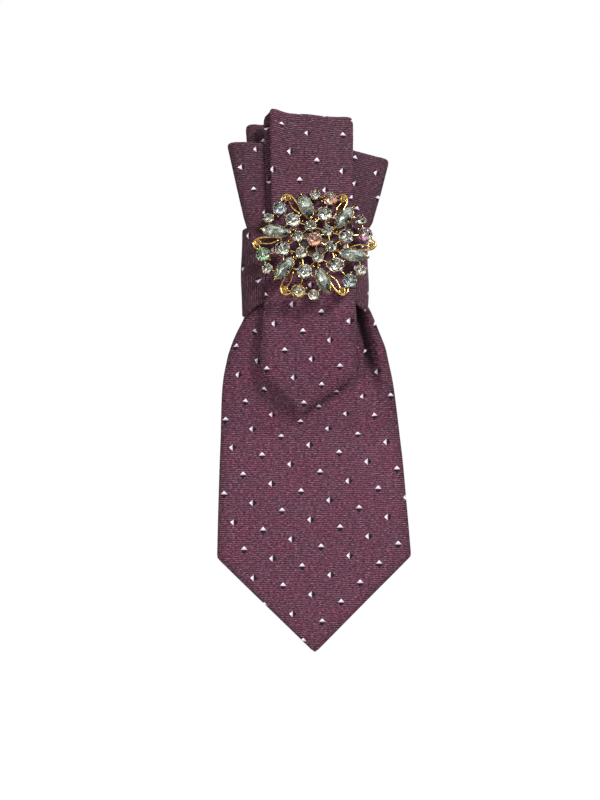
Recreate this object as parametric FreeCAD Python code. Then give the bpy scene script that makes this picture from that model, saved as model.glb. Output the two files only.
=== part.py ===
import FreeCAD, Part
import os
from math import cos, hypot, radians, sin, sqrt

from FreeCAD import Vector

# A brooch made from a folded necktie: a jewelled openwork ornament holds a gathered tie, which a
# bar pin fastens to clothing.
#
# Frame: millimetres, +Z up as worn, the front faces -Y, +X is on the right seen from the front.
# The origin is on the axis of the bar pin's stem, half way along the bar.
# "Depth" below is the distance in front of that axis, so a depth of 5 is at y = -5.

# ---- cloth -----------------------------------------------------------------------------------
CLOTH = 1.4  # a flattened length of necktie, all layers
FACE = 0.3  # its outer fabric
HEM = 0.7  # how far the outer fabric wraps past the interlining at an edge
SEAM = 1.0  # slot between the two fabric edges that meet on the inner side
GAP = 0.1  # air between neighbouring layers in the waist
THREAD = 0.4  # thickness of a stitch

# ---- bar pin ---------------------------------------------------------------------------------
STEM_TO_BASE = 3.0  # from the stem's axis to the base plate
BASE_THICK = 0.8
BASE_WIDTH = 5.0
BASE_ENDS = (-16.5, 15.5)
SEWING_HOLES = (-7.0, 0.0, 7.0)
SEWING_HOLE_R = 1.0
HINGE_X = 13.0
RIVET_R = 0.5
EYE_R = 1.2
EYE_BORE_R = 0.55
EYE_HALF_WIDTH = 0.8
EAR_INNER = 0.9
EAR_OUTER = 1.6
EAR_R = 1.4
STEM_R = 0.35
STEM_ROOT_R = 0.6  # where it meets the eye
STEM_STRAIGHT = (10.5, -10.5)  # from the end of its thicker root to the start of its point
STEM_TIP_X = -15.8
CATCH_X = -13.05
CHEEK_THICK = 0.9
CHEEK_R = 2.0
CHEEK_BORE_R = 1.15
NECK_R = 1.1
SLEEVE_R = 1.7
SLEEVE_BORE_R = 0.55
SLEEVE_HALF = 0.95  # half the sleeve's length between the two cheeks
CATCH_GATE = 1.0  # width of the gate that the stem passes through
LEVER_ANGLE = -75.0  # from +Y towards +Z, with the gate open

# ---- waist -----------------------------------------------------------------------------------
FELT_SIZE = (38.0, 12.0)
FELT_THICK = 1.2
BAND_BACK = STEM_TO_BASE + BASE_THICK + FELT_THICK
BAND_X = -4.25
BAND_HALF_WIDTH = 28.65
BAND_CORNER = 7.0
BAND_BOTTOM, BAND_TOP = -21.0, 14.0
KNOT_FRONT = 21.4  # depth of the band's front at z = 0
KNOT_LEAN = 0.0947  # the front lies further back by this much for each unit of height
LEG_END = -14.0  # where the folded lengths end inside the band

# ---- loops -----------------------------------------------------------------------------------
LOOP_AIR = 0.4  # space inside a pressed loop at its fold
NARROW_AIR = 2.0  # space inside the narrow blade's fold, which hooks over the band
# top of the fold, height where the loop starts to lean back, how far it leans per unit of height
REAR_TOP, REAR_BEND, REAR_LEAN = 64.5, 14.5, 0.10
RIGHT_TOP, RIGHT_BEND, RIGHT_LEAN = 53.1, 21.0, 0.10
LEFT_TOP, LEFT_BEND, LEFT_LEAN = 53.5, 24.0, 0.09
RIGHT_TURN = 15.0  # the right loop is turned this far clockwise, and so is its fold
NARROW_TOP = 66.5

# ---- blades ----------------------------------------------------------------------------------
BLADE_REST = 2.5  # depth of the wide blade's back where it lies on the clothing
WIDE_TIP = (0.7, -178.8)
WIDE_CORNERS = ((-44.5, -135.0), (45.0, -134.0))
NARROW_TIP = (-5.7, -68.9)
NARROW_CORNERS = ((-24.1, -49.0), (20.2, -50.3))

# ---- ornament --------------------------------------------------------------------------------
ORNAMENT_DEPTH = 27.4
ORNAMENT_Z = 5.2
ORNAMENT_TILT = 13.0  # its top leans away from the front
REPEAT = 60.0  # the pattern repeats six times around the centre
PAD_R = 6.5
WALL = 0.45  # wall of a stone's cup
CUP_HEIGHT = 1.2
WIRE_R = 0.5
PRONG_R = 0.32
# family: pitch radius, first angle, stone radius, height of the stone's girdle
ROUND_STONES = {
    "inner_round_stone": (7.5, 42.0, 2.6, 2.9),
    "large_round_stone": (14.0, 12.0, 3.3, 2.0),
    "aurora_stone": (22.6, 12.0, 3.0, 0.0),
    "outer_round_stone": (23.2, 29.0, 2.4, 0.2),
}
CENTRE_R, CENTRE_HEIGHT = 3.1, 5.0
MARQUISE_PITCH, MARQUISE_ANGLE, MARQUISE_HEIGHT = 17.4, 42.0, 1.4
MARQUISE_HALF = (6.6, 2.95)
MARQUISE_TWIST = 9.0
BEAD_PITCH, BEAD_ANGLE, BEAD_R, BEAD_HEIGHT = 24.5, 58.4, 1.7, 0.3
BEAD_STONE_R = 1.1


def save(node, *solids):
    shape = solids[0] if len(solids) == 1 else Part.makeCompound(list(solids))
    shape.exportStep("parts/" + node + ".step")


# ---- flat outlines and bent cloth ------------------------------------------------------------
def outline(start, *pieces):
    """Closed face in the XZ plane. A piece is an end point, or a point to bow through and an end."""
    here, edges = Vector(start[0], 0, start[1]), []
    for piece in pieces + (start,):
        if isinstance(piece[0], tuple):
            via, end = (Vector(x, 0, z) for x, z in piece)
            edges.append(Part.Arc(here, via, end).toShape())
        else:
            end = Vector(piece[0], 0, piece[1])
            edges.append(Part.LineSegment(here, end).toShape())
        here = end
    return Part.Face(Part.Wire(edges))


def prism(face, back=10.0, front=50.0):
    """The outline carried through the object's depth."""
    moved = face.copy()
    moved.translate(Vector(0, back, 0))
    return moved.extrude(Vector(0, -back - front, 0))


def bar(x0, x1, depth0, depth1, z0, z1):
    return Part.makeBox(x1 - x0, depth1 - depth0, z1 - z0, Vector(x0, -depth1, z0))


def rod(start, end, radius):
    along = end - start
    return Part.makeCylinder(radius, along.Length, start, along)


def unit(a, b):
    length = hypot(b[0] - a[0], b[1] - a[1])
    return (b[0] - a[0]) / length, (b[1] - a[1]) / length


def side(path, radii, shift):
    """Edges of a path of (depth, z) points with rounded corners, moved to its left by shift."""

    def point(depth, z, normal, distance):
        return Vector(0, -depth - normal[0] * distance, z + normal[1] * distance)

    edges = []
    ahead = unit(path[0], path[1])
    left = (-ahead[1], ahead[0])
    here = point(*path[0], left, shift)
    for corner, after, radius in zip(path[1:], path[2:], radii):
        turned = unit(corner, after)
        turned_left = (-turned[1], turned[0])
        right_turn = 1 if ahead[0] * turned[1] - ahead[1] * turned[0] < 0 else -1
        cosine = ahead[0] * turned[0] + ahead[1] * turned[1]
        cut = radius * sqrt((1 - cosine) / (1 + cosine))
        first = (corner[0] - ahead[0] * cut, corner[1] - ahead[1] * cut)
        last = (corner[0] + turned[0] * cut, corner[1] + turned[1] * cut)
        middle = unit((0, 0), (left[0] + turned_left[0], left[1] + turned_left[1]))
        centre = [first[i] - right_turn * radius * left[i] for i in range(2)]
        start = point(*first, left, shift)
        end = point(*last, turned_left, shift)
        via = point(*centre, middle, right_turn * radius + shift)
        edges.append(Part.LineSegment(here, start).toShape())
        edges.append(Part.Arc(start, via, end).toShape())
        here, ahead, left = end, turned, turned_left
    finish = point(*path[-1], left, shift)
    edges.append(Part.LineSegment(here, finish).toShape())
    return edges, finish


def bent(path, radii, inner, outer, turn=0.0):
    """A wide layer of cloth along the path, between two distances to its left."""
    inside, inside_end = side(path, radii, inner)
    outside, outside_end = side(path, radii, outer)
    starts = inside[0].Vertexes[0].Point, outside[0].Vertexes[0].Point
    caps = [
        Part.LineSegment(*starts).toShape(),
        Part.LineSegment(inside_end, outside_end).toShape(),
    ]
    wire = Part.Wire(Part.__sortEdges__(inside + caps + outside))
    half = 70.0
    face = Part.Face(wire)
    face.translate(Vector(-half, 0, 0))
    solid = face.extrude(Vector(2 * half, 0, 0))
    solid.rotate(Vector(0, 0, 0), Vector(0, 1, 0), turn)
    return solid


def slot_outline(x, bottom, top):
    """The long opening between the two fabric edges at the middle of the inner side."""
    half = SEAM / 2
    return outline((x - half, bottom), (x - half, top), (x + half, top), (x + half, bottom))


def strip(path, radii, face, openings, turn=0.0):
    """Outer fabric and interlining of a length of necktie that follows a path."""
    shell = bent(path, radii, 0, CLOTH, turn).common(prism(face))
    core = bent(path, radii, FACE, CLOTH - FACE, turn)
    core = core.common(prism(face.makeOffset2D(-HEM)))
    shell = shell.cut(core)
    for opening in openings:
        slot = bent(path, radii, 0, FACE).common(prism(opening))
        slot.rotate(Vector(0, 0, 0), Vector(0, 1, 0), turn)
        shell = shell.cut(slot)
    return shell, core


# ---- the three loops at the top --------------------------------------------------------------
def loop_path(first_depth, top, bend, lean, leg_end=LEG_END):
    """Inner side of a loop: up the rear leg, over the fold and down the front leg."""
    rear = first_depth + CLOTH
    front = rear + GAP
    middle = (rear + front) / 2 - lean * (top - bend)
    fold = top - CLOTH
    return [
        (rear, leg_end),
        (rear, bend),
        (middle - LOOP_AIR / 2, fold),
        (middle + LOOP_AIR / 2, fold),
        (front, bend),
        (front, leg_end),
    ]


def make_loops():
    pitch = 2 * CLOTH + 2 * GAP
    first = BAND_BACK + CLOTH + GAP
    fold_r = 0.95 * LOOP_AIR / 2
    radii = (8.0, fold_r, fold_r, 8.0)
    above = 75.0

    rear = outline((-25, LEG_END), (-26, 15), (-31, REAR_TOP), (-31, above), (14, above), (14, LEG_END))
    slot = slot_outline(-6, LEG_END, above)
    path = loop_path(first, REAR_TOP, REAR_BEND, REAR_LEAN)
    shell, core = strip(path, radii, rear, [slot])
    save("rear_loop_shell", shell)
    save("rear_loop_interlining", core)

    right = outline(
        (-10, LEG_END), (2, 60), (38, 62), (34.2, 48), (25.4, 17), (21.5, 14.6), (21, LEG_END)
    )
    slot = slot_outline(1, LEG_END, above)
    path = loop_path(first + pitch, RIGHT_TOP, RIGHT_BEND, RIGHT_LEAN, LEG_END - 15)
    shell, core = strip(path, radii, right, [slot], RIGHT_TURN)
    save("right_loop_shell", shell)
    save("right_loop_interlining", core)

    left = outline(
        (-24, LEG_END), (-30.2, 14), (-38.6, LEFT_TOP), (-38.6, above), (3, above), (12, LEG_END)
    )
    slot = slot_outline(-12, LEG_END, above)
    path = loop_path(first + 2 * pitch, LEFT_TOP, LEFT_BEND, LEFT_LEAN)
    shell, core = strip(path, radii, left, [slot])
    save("left_loop_shell", shell)
    save("left_loop_interlining", core)


# ---- the wide blade --------------------------------------------------------------------------
def make_wide_blade():
    back = BAND_BACK + CLOTH + GAP + 3 * (2 * CLOTH + 2 * GAP)
    path = [(back, 12), (back + 3, -22), (BLADE_REST, -78), (BLADE_REST, -185)]
    radii = (12.0, 12.0)
    left_corner, right_corner = WIDE_CORNERS
    face = outline(
        (-29, 12),
        (-29, -22.5),
        ((-38.2, -40), (-41.6, -57.5)),
        left_corner,
        WIDE_TIP,
        right_corner,
        (36.6, -57.5),
        ((32.8, -40), (21, -22.5)),
        (21, 12),
    )
    hidden_tip = outline((0.3, -100), (-38, -136), (WIDE_TIP[0], -172.5), (38.5, -135))
    slot = slot_outline(0.3, -104, 14)
    shell, core = strip(path, radii, face, [slot, hidden_tip])
    tipping = bent(path, radii, 0, FACE).common(prism(hidden_tip))
    save("wide_blade_shell", shell)
    save("wide_blade_interlining", core)
    save("wide_blade_tipping", tipping)
    save("wide_blade_bar_tack", bar(-3.2, 3.8, BLADE_REST - THREAD, BLADE_REST, -98, -97))


# ---- the narrow blade: inside the band, over the top, down the front ---------------------------
def knot_front(z):
    return KNOT_FRONT - KNOT_LEAN * z


def narrow_path():
    front_leg = [(knot_front(z) + GAP, z) for z in (NARROW_TOP - CLOTH, -22.0)]
    rear_leg = [(knot_front(z) + GAP - NARROW_AIR, z) for z in (LEG_END, NARROW_TOP - CLOTH)]
    return rear_leg + front_leg + [(9.5, -70.0)]


def make_narrow_blade():
    fold_r = 0.97 * NARROW_AIR / 2
    path, radii = narrow_path(), (fold_r, fold_r, 12.0)
    left_corner, right_corner = NARROW_CORNERS
    face = outline(
        (-20.3, 70), (-22.1, -24), left_corner, NARROW_TIP, right_corner, (18.6, -24), (17.7, 70)
    )
    hidden_tip = outline((-1.9, -36), (-19.0, -50.5), (NARROW_TIP[0], -63), (15.0, -51.5))
    slot = slot_outline(-1.9, -38, 70)
    shell, core = strip(path, radii, face, [slot, hidden_tip])
    tipping = bent(path, radii, 0, FACE).common(prism(hidden_tip))
    tack = outline((-4.4, -34.6), (-4.4, -33.6), (0.6, -33.6), (0.6, -34.6))
    save("narrow_blade_shell", shell)
    save("narrow_blade_interlining", core)
    save("narrow_blade_tipping", tipping)
    save("narrow_blade_bar_tack", bent(path, radii, -THREAD, 0).common(prism(tack)))


# ---- the band around the waist ---------------------------------------------------------------
def band_section(z, inset):
    """Rounded rectangle around the gathered lengths at height z."""
    back, front = BAND_BACK + inset, knot_front(z) - inset
    left, right = BAND_X - BAND_HALF_WIDTH + inset, BAND_X + BAND_HALF_WIDTH - inset
    r = BAND_CORNER - inset
    bulge = r * (1 - sqrt(0.5))

    def at(x, depth):
        return Vector(x, -depth, z)

    line, arc = Part.LineSegment, Part.Arc
    edges = [
        line(at(left + r, back), at(right - r, back)),
        arc(at(right - r, back), at(right - bulge, back + bulge), at(right, back + r)),
        line(at(right, back + r), at(right, front - r)),
        arc(at(right, front - r), at(right - bulge, front - bulge), at(right - r, front)),
        line(at(right - r, front), at(left + r, front)),
        arc(at(left + r, front), at(left + bulge, front - bulge), at(left, front - r)),
        line(at(left, front - r), at(left, back + r)),
        arc(at(left, back + r), at(left + bulge, back + bulge), at(left + r, back)),
    ]
    return Part.Wire([e.toShape() for e in edges])


def tube(outer, inner, bottom, top):
    """A closed ring of cloth between two distances inside the band's outer face."""
    solids = [
        Part.makeLoft([band_section(bottom, inset), band_section(top, inset)], True, True)
        for inset in (outer, inner)
    ]
    return solids[0].cut(solids[1])


def make_band():
    core = tube(FACE, CLOTH - FACE, BAND_BOTTOM + HEM, BAND_TOP - HEM)
    middle = (BAND_BOTTOM + BAND_TOP) / 2
    slot = tube(CLOTH - FACE, CLOTH, middle - SEAM / 2, middle + SEAM / 2)
    shell = tube(0, CLOTH, BAND_BOTTOM, BAND_TOP).cut(core).cut(slot)
    save("waist_band_shell", shell)
    save("waist_band_interlining", core)
    heights = (-18.5, -16, -13.5, -11, -8.5, 8.5, 11)
    seam_x, half_stitch = -12.0, 1.5
    stitches = [
        bar(seam_x - half_stitch, seam_x + half_stitch, BAND_BACK - THREAD, BAND_BACK, z, z + 0.5)
        for z in heights
    ]
    save("band_seam_stitches", *stitches)


# ---- the bar pin, its felt and its stitches ---------------------------------------------------
def make_stitches():
    """At each hole a bar of thread across the base, with three legs down into the felt."""
    base_front = STEM_TO_BASE + BASE_THICK + FELT_THICK
    half, reach = THREAD, BASE_WIDTH / 2 + 0.1
    groups = []
    for x in SEWING_HOLES:
        group = bar(x - half, x + half, STEM_TO_BASE - THREAD, STEM_TO_BASE, -reach - 0.5, reach + 0.5)
        for z0, z1 in ((-reach - 0.5, -reach), (-half, half), (reach, reach + 0.5)):
            group = group.fuse(bar(x - half, x + half, STEM_TO_BASE - THREAD, base_front, z0, z1))
        groups.append(group.removeSplitter())
    return groups


def make_backing(stitches):
    length, width = FELT_SIZE
    end = length / 2 - width / 2
    r = width / 2
    face = outline(
        (-end, -r), ((-end - r, 0), (-end, r)), (end, r), ((end + r, 0), (end, -r))
    )
    felt = prism(face, -(STEM_TO_BASE + BASE_THICK), BAND_BACK)
    save("felt_backing", felt.cut(Part.makeCompound(stitches)))


def make_base():
    left, right = BASE_ENDS
    r = BASE_WIDTH / 2
    face = outline(
        (left + r, -r), ((left, 0), (left + r, r)), (right - r, r), ((right, 0), (right - r, -r))
    )
    base = prism(face, -STEM_TO_BASE, STEM_TO_BASE + BASE_THICK)
    through = Vector(0, -1, 0)
    for x in SEWING_HOLES:
        start = Vector(x, -STEM_TO_BASE + 1, 0)
        base = base.cut(Part.makeCylinder(SEWING_HOLE_R, BASE_THICK + 2, start, through))
    for z in (-EAR_OUTER, EAR_INNER):
        thick = EAR_OUTER - EAR_INNER
        ear = bar(HINGE_X - EAR_R, HINGE_X + EAR_R, 0, STEM_TO_BASE, z, z + thick)
        ear = ear.fuse(Part.makeCylinder(EAR_R, thick, Vector(HINGE_X, 0, z)))
        base = base.fuse(ear)
    hole = Part.makeCylinder(RIVET_R, 2 * EAR_OUTER, Vector(HINGE_X, 0, -EAR_OUTER))
    save("bar_pin_base", base.cut(hole).removeSplitter())


def make_rivet():
    head_r, head = 0.9, 0.35
    rivet = Part.makeCylinder(RIVET_R, 2 * EAR_OUTER, Vector(HINGE_X, 0, -EAR_OUTER))
    for z in (-EAR_OUTER - head, EAR_OUTER):
        rivet = rivet.fuse(Part.makeCylinder(head_r, head, Vector(HINGE_X, 0, z)))
    save("hinge_rivet", rivet.removeSplitter())


def make_stem():
    """An eye that turns on the rivet, a thicker root, a straight wire and a sharpened tip."""
    width = 2 * EYE_HALF_WIDTH
    eye = Part.makeCylinder(EYE_R, width, Vector(HINGE_X, 0, -EYE_HALF_WIDTH))
    root_x = HINGE_X - EYE_BORE_R - 0.2
    first, last = STEM_STRAIGHT
    root_length = root_x - first
    root = Part.makeCone(STEM_R, STEM_ROOT_R, root_length, Vector(first, 0, 0), Vector(1, 0, 0))
    shaft = along_x(STEM_R, last, first)
    sharp_r = 0.06
    tip = Part.makeCone(STEM_R, sharp_r, last - STEM_TIP_X, Vector(last, 0, 0), Vector(-1, 0, 0))
    bore = Part.makeCylinder(EYE_BORE_R, width, Vector(HINGE_X, 0, -EYE_HALF_WIDTH))
    save("pin_stem", eye.fuse(root).fuse(shaft).fuse(tip).cut(bore).removeSplitter())


def along_x(radius, x0, x1):
    return rod(Vector(x0, 0, 0), Vector(x1, 0, 0), radius)


def gate(x0, x1, width):
    """The slot from the bore out to the back, where the stem comes in."""
    return bar(x0, x1, -CHEEK_R - 1, 0, -width / 2, width / 2)


def make_catch():
    clearance = 0.08
    cheek_half = CHEEK_R * 0.6
    cheeks = []
    for direction in (-1, 1):
        x0 = CATCH_X + direction * (SLEEVE_HALF + clearance)
        x1 = x0 + direction * CHEEK_THICK
        low, high = min(x0, x1), max(x0, x1)
        cheek = along_x(CHEEK_R, low, high)
        cheek = cheek.fuse(bar(low, high, 0, STEM_TO_BASE, -cheek_half, cheek_half))
        cheek = cheek.cut(along_x(CHEEK_BORE_R, low, high))
        cheeks.append(cheek.cut(gate(low, high, CATCH_GATE + 0.1)))
    reach = SLEEVE_HALF + clearance + CHEEK_THICK
    foot = bar(CATCH_X - reach, CATCH_X + reach, STEM_TO_BASE - 0.5, STEM_TO_BASE, -cheek_half, cheek_half)
    save("catch_body", cheeks[0].fuse(cheeks[1]).fuse(foot).removeSplitter())

    neck_end = reach + 0.1
    sleeve = along_x(NECK_R, CATCH_X - neck_end, CATCH_X + neck_end)
    sleeve = sleeve.fuse(along_x(SLEEVE_R, CATCH_X - SLEEVE_HALF, CATCH_X + SLEEVE_HALF))
    lever_half, lever_end = 0.35, 3.3
    lever = Part.makeBox(
        1.4, lever_end - NECK_R, 2 * lever_half, Vector(CATCH_X - 0.7, NECK_R, -lever_half)
    )
    lever.rotate(Vector(0, 0, 0), Vector(1, 0, 0), LEVER_ANGLE)
    sleeve = sleeve.fuse(lever)
    sleeve = sleeve.cut(along_x(SLEEVE_BORE_R, CATCH_X - neck_end, CATCH_X + neck_end))
    sleeve = sleeve.cut(gate(CATCH_X - neck_end, CATCH_X + neck_end, CATCH_GATE))
    save("catch_sleeve", sleeve.removeSplitter())


# ---- the ornament ----------------------------------------------------------------------------
# It is made flat, facing +Z with its top towards +Y, and then stood up in front of the waist.
def stand_up(shape):
    stood = shape.copy()
    stood.rotate(Vector(0, 0, 0), Vector(1, 0, 0), 90 - ORNAMENT_TILT)
    stood.translate(Vector(0, -ORNAMENT_DEPTH, ORNAMENT_Z))
    return stood


def polar(radius, angle, height=0.0):
    return Vector(radius * cos(radians(angle)), radius * sin(radians(angle)), height)


def facets(radius, height, count=8):
    points = [polar(radius, 360 * (i + 0.5) / count, height) for i in range(count)]
    return Part.makePolygon(points + points[:1])


def almond(half_length, half_width, height):
    """Pointed oval of two arcs, with its long axis along +X."""
    ends = Vector(-half_length, 0, height), Vector(half_length, 0, height)
    arcs = [
        Part.Arc(ends[0], Vector(0, half_width, height), ends[1]),
        Part.Arc(ends[1], Vector(0, -half_width, height), ends[0]),
    ]
    return Part.Wire([a.toShape() for a in arcs])


def stone(wire, size):
    """Cut stone with its girdle at height 0: wire(size, height) gives an outline of its shape."""
    pavilion = Part.makeLoft([wire(0.12 * size, -0.5 * size), wire(0.74 * size, 0)], True, True)
    girdle = Part.makeLoft([wire(size, 0), wire(size, 0.1 * size)], True, True)
    crown = Part.makeLoft([wire(size, 0.1 * size), wire(0.58 * size, 0.45 * size)], True, True)
    return pavilion.fuse(girdle).fuse(crown).removeSplitter()


def round_stone(radius):
    return stone(facets, radius)


def marquise_stone():
    length, width = MARQUISE_HALF

    def wire(size, height):
        return almond(length * size / width, size, height)

    return stone(wire, width)


def cup(radius):
    """Ring that holds a round stone's girdle, with four prongs beside it."""
    outer = Part.makeCylinder(radius + WALL, CUP_HEIGHT, Vector(0, 0, -CUP_HEIGHT))
    ring = outer.cut(Part.makeCylinder(0.8 * radius, CUP_HEIGHT, Vector(0, 0, -CUP_HEIGHT)))
    for i in range(4):
        foot = polar(radius + PRONG_R, 45 + 90 * i, -0.4 * CUP_HEIGHT)
        ring = ring.fuse(Part.makeCylinder(PRONG_R, 0.4 * CUP_HEIGHT + 0.2 * radius, foot))
    return ring


def marquise_cup():
    length, width = MARQUISE_HALF
    floor = Vector(0, 0, CUP_HEIGHT)
    outer = Part.Face(almond(length + 1.6 * WALL, width + WALL, -CUP_HEIGHT)).extrude(floor)
    inner = Part.Face(almond(0.8 * length, 0.8 * width, -CUP_HEIGHT)).extrude(floor)
    ring = outer.cut(inner)
    for x in (-length - 0.5, length + 0.5):
        ring = ring.fuse(Part.makeCylinder(PRONG_R + 0.1, 1.1, Vector(x, 0, -0.4)))
    return ring


def bead():
    """Small round cup at the end of a scroll."""
    ball = Part.makeSphere(BEAD_R)
    ball = ball.cut(Part.makeBox(4, 4, 4, Vector(-2, -2, 0.35 * BEAD_R)))
    return ball.cut(Part.makeBox(4, 4, 4, Vector(-2, -2, -4 - 0.6 * BEAD_R)))


def turned(shape, angle, place):
    moved = shape.copy()
    moved.rotate(Vector(0, 0, 0), Vector(0, 0, 1), angle)
    moved.translate(place)
    return moved


def link(start, start_r, end, end_r):
    """Wire between two cups, from wall to wall, at half their height."""
    along = end - start
    along.normalize()
    drop = Vector(0, 0, -CUP_HEIGHT / 2)
    return rod(start + along * start_r + drop, end - along * end_r + drop, WIRE_R)


def scroll(k):
    """Wire that leaves a marquise's side and bows out to its bead."""
    angle = REPEAT * k
    start = polar(15.6, 42.0 + 12.0 + angle, MARQUISE_HEIGHT - 0.8)
    bow = polar(20.6, 42.0 + 14.5 + angle, 0.2)
    end = polar(BEAD_PITCH - 0.8 * BEAD_R, BEAD_ANGLE + angle, -0.2)
    path = Part.Wire([Part.Arc(start, bow, end).toShape()])
    first = path.Edges[0]
    section = Part.Wire([Part.makeCircle(WIRE_R, start, first.tangentAt(first.FirstParameter))])
    return path.makePipeShell([section], True, True)


def make_ornament():
    places = {"center": (polar(0, 0, CENTRE_HEIGHT), CENTRE_R)}
    pieces = [turned(cup(CENTRE_R), 0, places["center"][0])]
    save("center_stone", stand_up(turned(round_stone(CENTRE_R), 0, places["center"][0])))
    for family, (pitch, first, radius, height) in ROUND_STONES.items():
        for k in range(6):
            angle = first + REPEAT * k
            place = polar(pitch, angle, height)
            places[family, k] = place, radius
            pieces.append(turned(cup(radius), angle, place))
            save(f"{family}_{k + 1}", stand_up(turned(round_stone(radius), angle, place)))
    bead_stones = []
    for k in range(6):
        angle = MARQUISE_ANGLE + REPEAT * k
        place = polar(MARQUISE_PITCH, angle, MARQUISE_HEIGHT)
        twist = angle + MARQUISE_TWIST
        pieces.append(turned(marquise_cup(), twist, place))
        save(f"marquise_stone_{k + 1}", stand_up(turned(marquise_stone(), twist, place)))
        bead_place = polar(BEAD_PITCH, BEAD_ANGLE + REPEAT * k, BEAD_HEIGHT)
        pieces.append(turned(bead(), 0, bead_place))
        top = bead_place + Vector(0, 0, 0.35 * BEAD_R)
        chip = Part.makeLoft([facets(BEAD_STONE_R, 0), facets(0.5 * BEAD_STONE_R, 0.5)], True, True)
        bead_stones.append(stand_up(turned(chip, 0, top)))
        pieces.append(scroll(k))
    save("champagne_stones", *bead_stones)

    def join(a, b):
        (start, start_r), (end, end_r) = places[a], places[b]
        pieces.append(link(start, start_r + WALL / 2, end, end_r + WALL / 2))

    for k in range(6):
        after = (k + 1) % 6
        inner, large = ("inner_round_stone", k), ("large_round_stone", k)
        aurora, outer = ("aurora_stone", k), ("outer_round_stone", k)
        join("center", inner)
        join(inner, ("inner_round_stone", after))
        join(inner, large)
        join(inner, ("large_round_stone", after))
        join(large, aurora)
        join(aurora, outer)
        angle = MARQUISE_ANGLE + REPEAT * k
        middle = polar(MARQUISE_PITCH, angle, MARQUISE_HEIGHT)
        for neighbour, (along, across) in (
            (inner, (-7.0, 0)),
            (large, (-2.5, -2.8)),
            (("large_round_stone", after), (-2.5, 2.8)),
            (outer, (3.2, -2.6)),
        ):
            start = turned(Part.Vertex(along, across, 0), angle + MARQUISE_TWIST, middle).Point
            end, end_r = places[neighbour]
            pieces.append(link(start, 0, end, end_r + WALL / 2))
        bead_place = polar(BEAD_PITCH, BEAD_ANGLE + REPEAT * k, BEAD_HEIGHT)
        end, end_r = places["aurora_stone", after]
        pieces.append(link(bead_place, 0.8 * BEAD_R, end, end_r + WALL / 2))
    frame = pieces[0].multiFuse(pieces[1:])
    save("ornament_frame", stand_up(frame))


def make_glue_pad():
    """Wedge of set glue between the front of the narrow blade and the ornament's middle."""
    under = ROUND_STONES["inner_round_stone"][3] - CUP_HEIGHT
    pad = stand_up(Part.makeCylinder(PAD_R, 12, Vector(0, 0, under - 12)))
    surface = narrow_path()[2:4]

    cloth = bent(surface, (), -20.0, CLOTH)
    save("ornament_glue_pad", pad.cut(cloth))


def main():
    os.makedirs("parts", exist_ok=True)
    make_loops()
    make_wide_blade()
    make_narrow_blade()
    make_band()
    stitches = make_stitches()
    save("bar_pin_stitches", *stitches)
    make_backing(stitches)
    make_base()
    make_rivet()
    make_stem()
    make_catch()
    make_glue_pad()
    make_ornament()


main()
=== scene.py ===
from math import cos, pi, radians, sin, sqrt

import bmesh
import bpy
import numpy as np
from mathutils import Matrix, Vector
from mathutils.geometry import delaunay_2d_cdt


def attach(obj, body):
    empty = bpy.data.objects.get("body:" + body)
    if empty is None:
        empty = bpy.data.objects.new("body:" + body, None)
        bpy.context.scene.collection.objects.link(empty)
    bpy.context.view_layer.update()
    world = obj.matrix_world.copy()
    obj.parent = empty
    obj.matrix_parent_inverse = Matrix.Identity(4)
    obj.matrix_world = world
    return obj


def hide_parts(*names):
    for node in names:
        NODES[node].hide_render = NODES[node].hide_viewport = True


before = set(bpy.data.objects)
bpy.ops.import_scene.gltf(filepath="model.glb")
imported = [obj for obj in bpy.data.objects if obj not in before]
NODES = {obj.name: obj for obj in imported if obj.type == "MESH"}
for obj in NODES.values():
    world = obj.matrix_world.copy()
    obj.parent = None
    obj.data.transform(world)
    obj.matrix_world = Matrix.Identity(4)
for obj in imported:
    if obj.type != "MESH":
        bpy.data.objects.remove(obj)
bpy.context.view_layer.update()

# A brooch made from a folded necktie. Shapes below are in millimetres, in the CAD's frame:
# +Z up, the front faces -Y, and "depth" is the distance in front of the bar pin's stem.
MM = 0.001
RNG = np.random.default_rng(12)

# ---- cloth, as in the CAD ----------------------------------------------------------------------
CLOTH = 1.4
FACE = 0.3
HEM = 0.7
GAP = 0.1
KNOT_FRONT, KNOT_LEAN = 21.4, 0.0947
BAND_BACK = 5.0
BAND_X, BAND_HALF_WIDTH, BAND_CORNER = -4.25, 28.65, 7.0
LEG_END = -14.0
BLADE_REST = 2.5
# the woven pattern repeats along these two steps, (across, up), in millimetres of cloth
PATTERN_DOWN = (-8.76, -8.95)
PATTERN_ACROSS = (13.38, -3.83)


def smooth(t):
    t = np.clip(t, 0.0, 1.0)
    return t * t * (3 - 2 * t)


def ramp(value, start, end):
    """0 at start, 1 at end."""
    return smooth((np.asarray(value, float) - start) / (end - start))


def bell(value, centre, width):
    return np.exp(-(((value - centre) / width) ** 2))


def curve(points, parts=10):
    """Smooth line through the points, which are spaced as they come."""
    pts = np.array(points, float)
    ends = np.vstack([2 * pts[0] - pts[1], pts, 2 * pts[-1] - pts[-2]])
    t = np.linspace(0, 1, parts, endpoint=False)[:, None]
    made = []
    for a, b, c, d in zip(ends, ends[1:], ends[2:], ends[3:]):
        made.append(
            0.5 * (2 * b + (c - a) * t + (2 * a - 5 * b + 4 * c - d) * t**2
                   + (3 * b - a - 3 * c + d) * t**3)
        )
    return np.vstack(made + [pts[-1:]])


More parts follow.
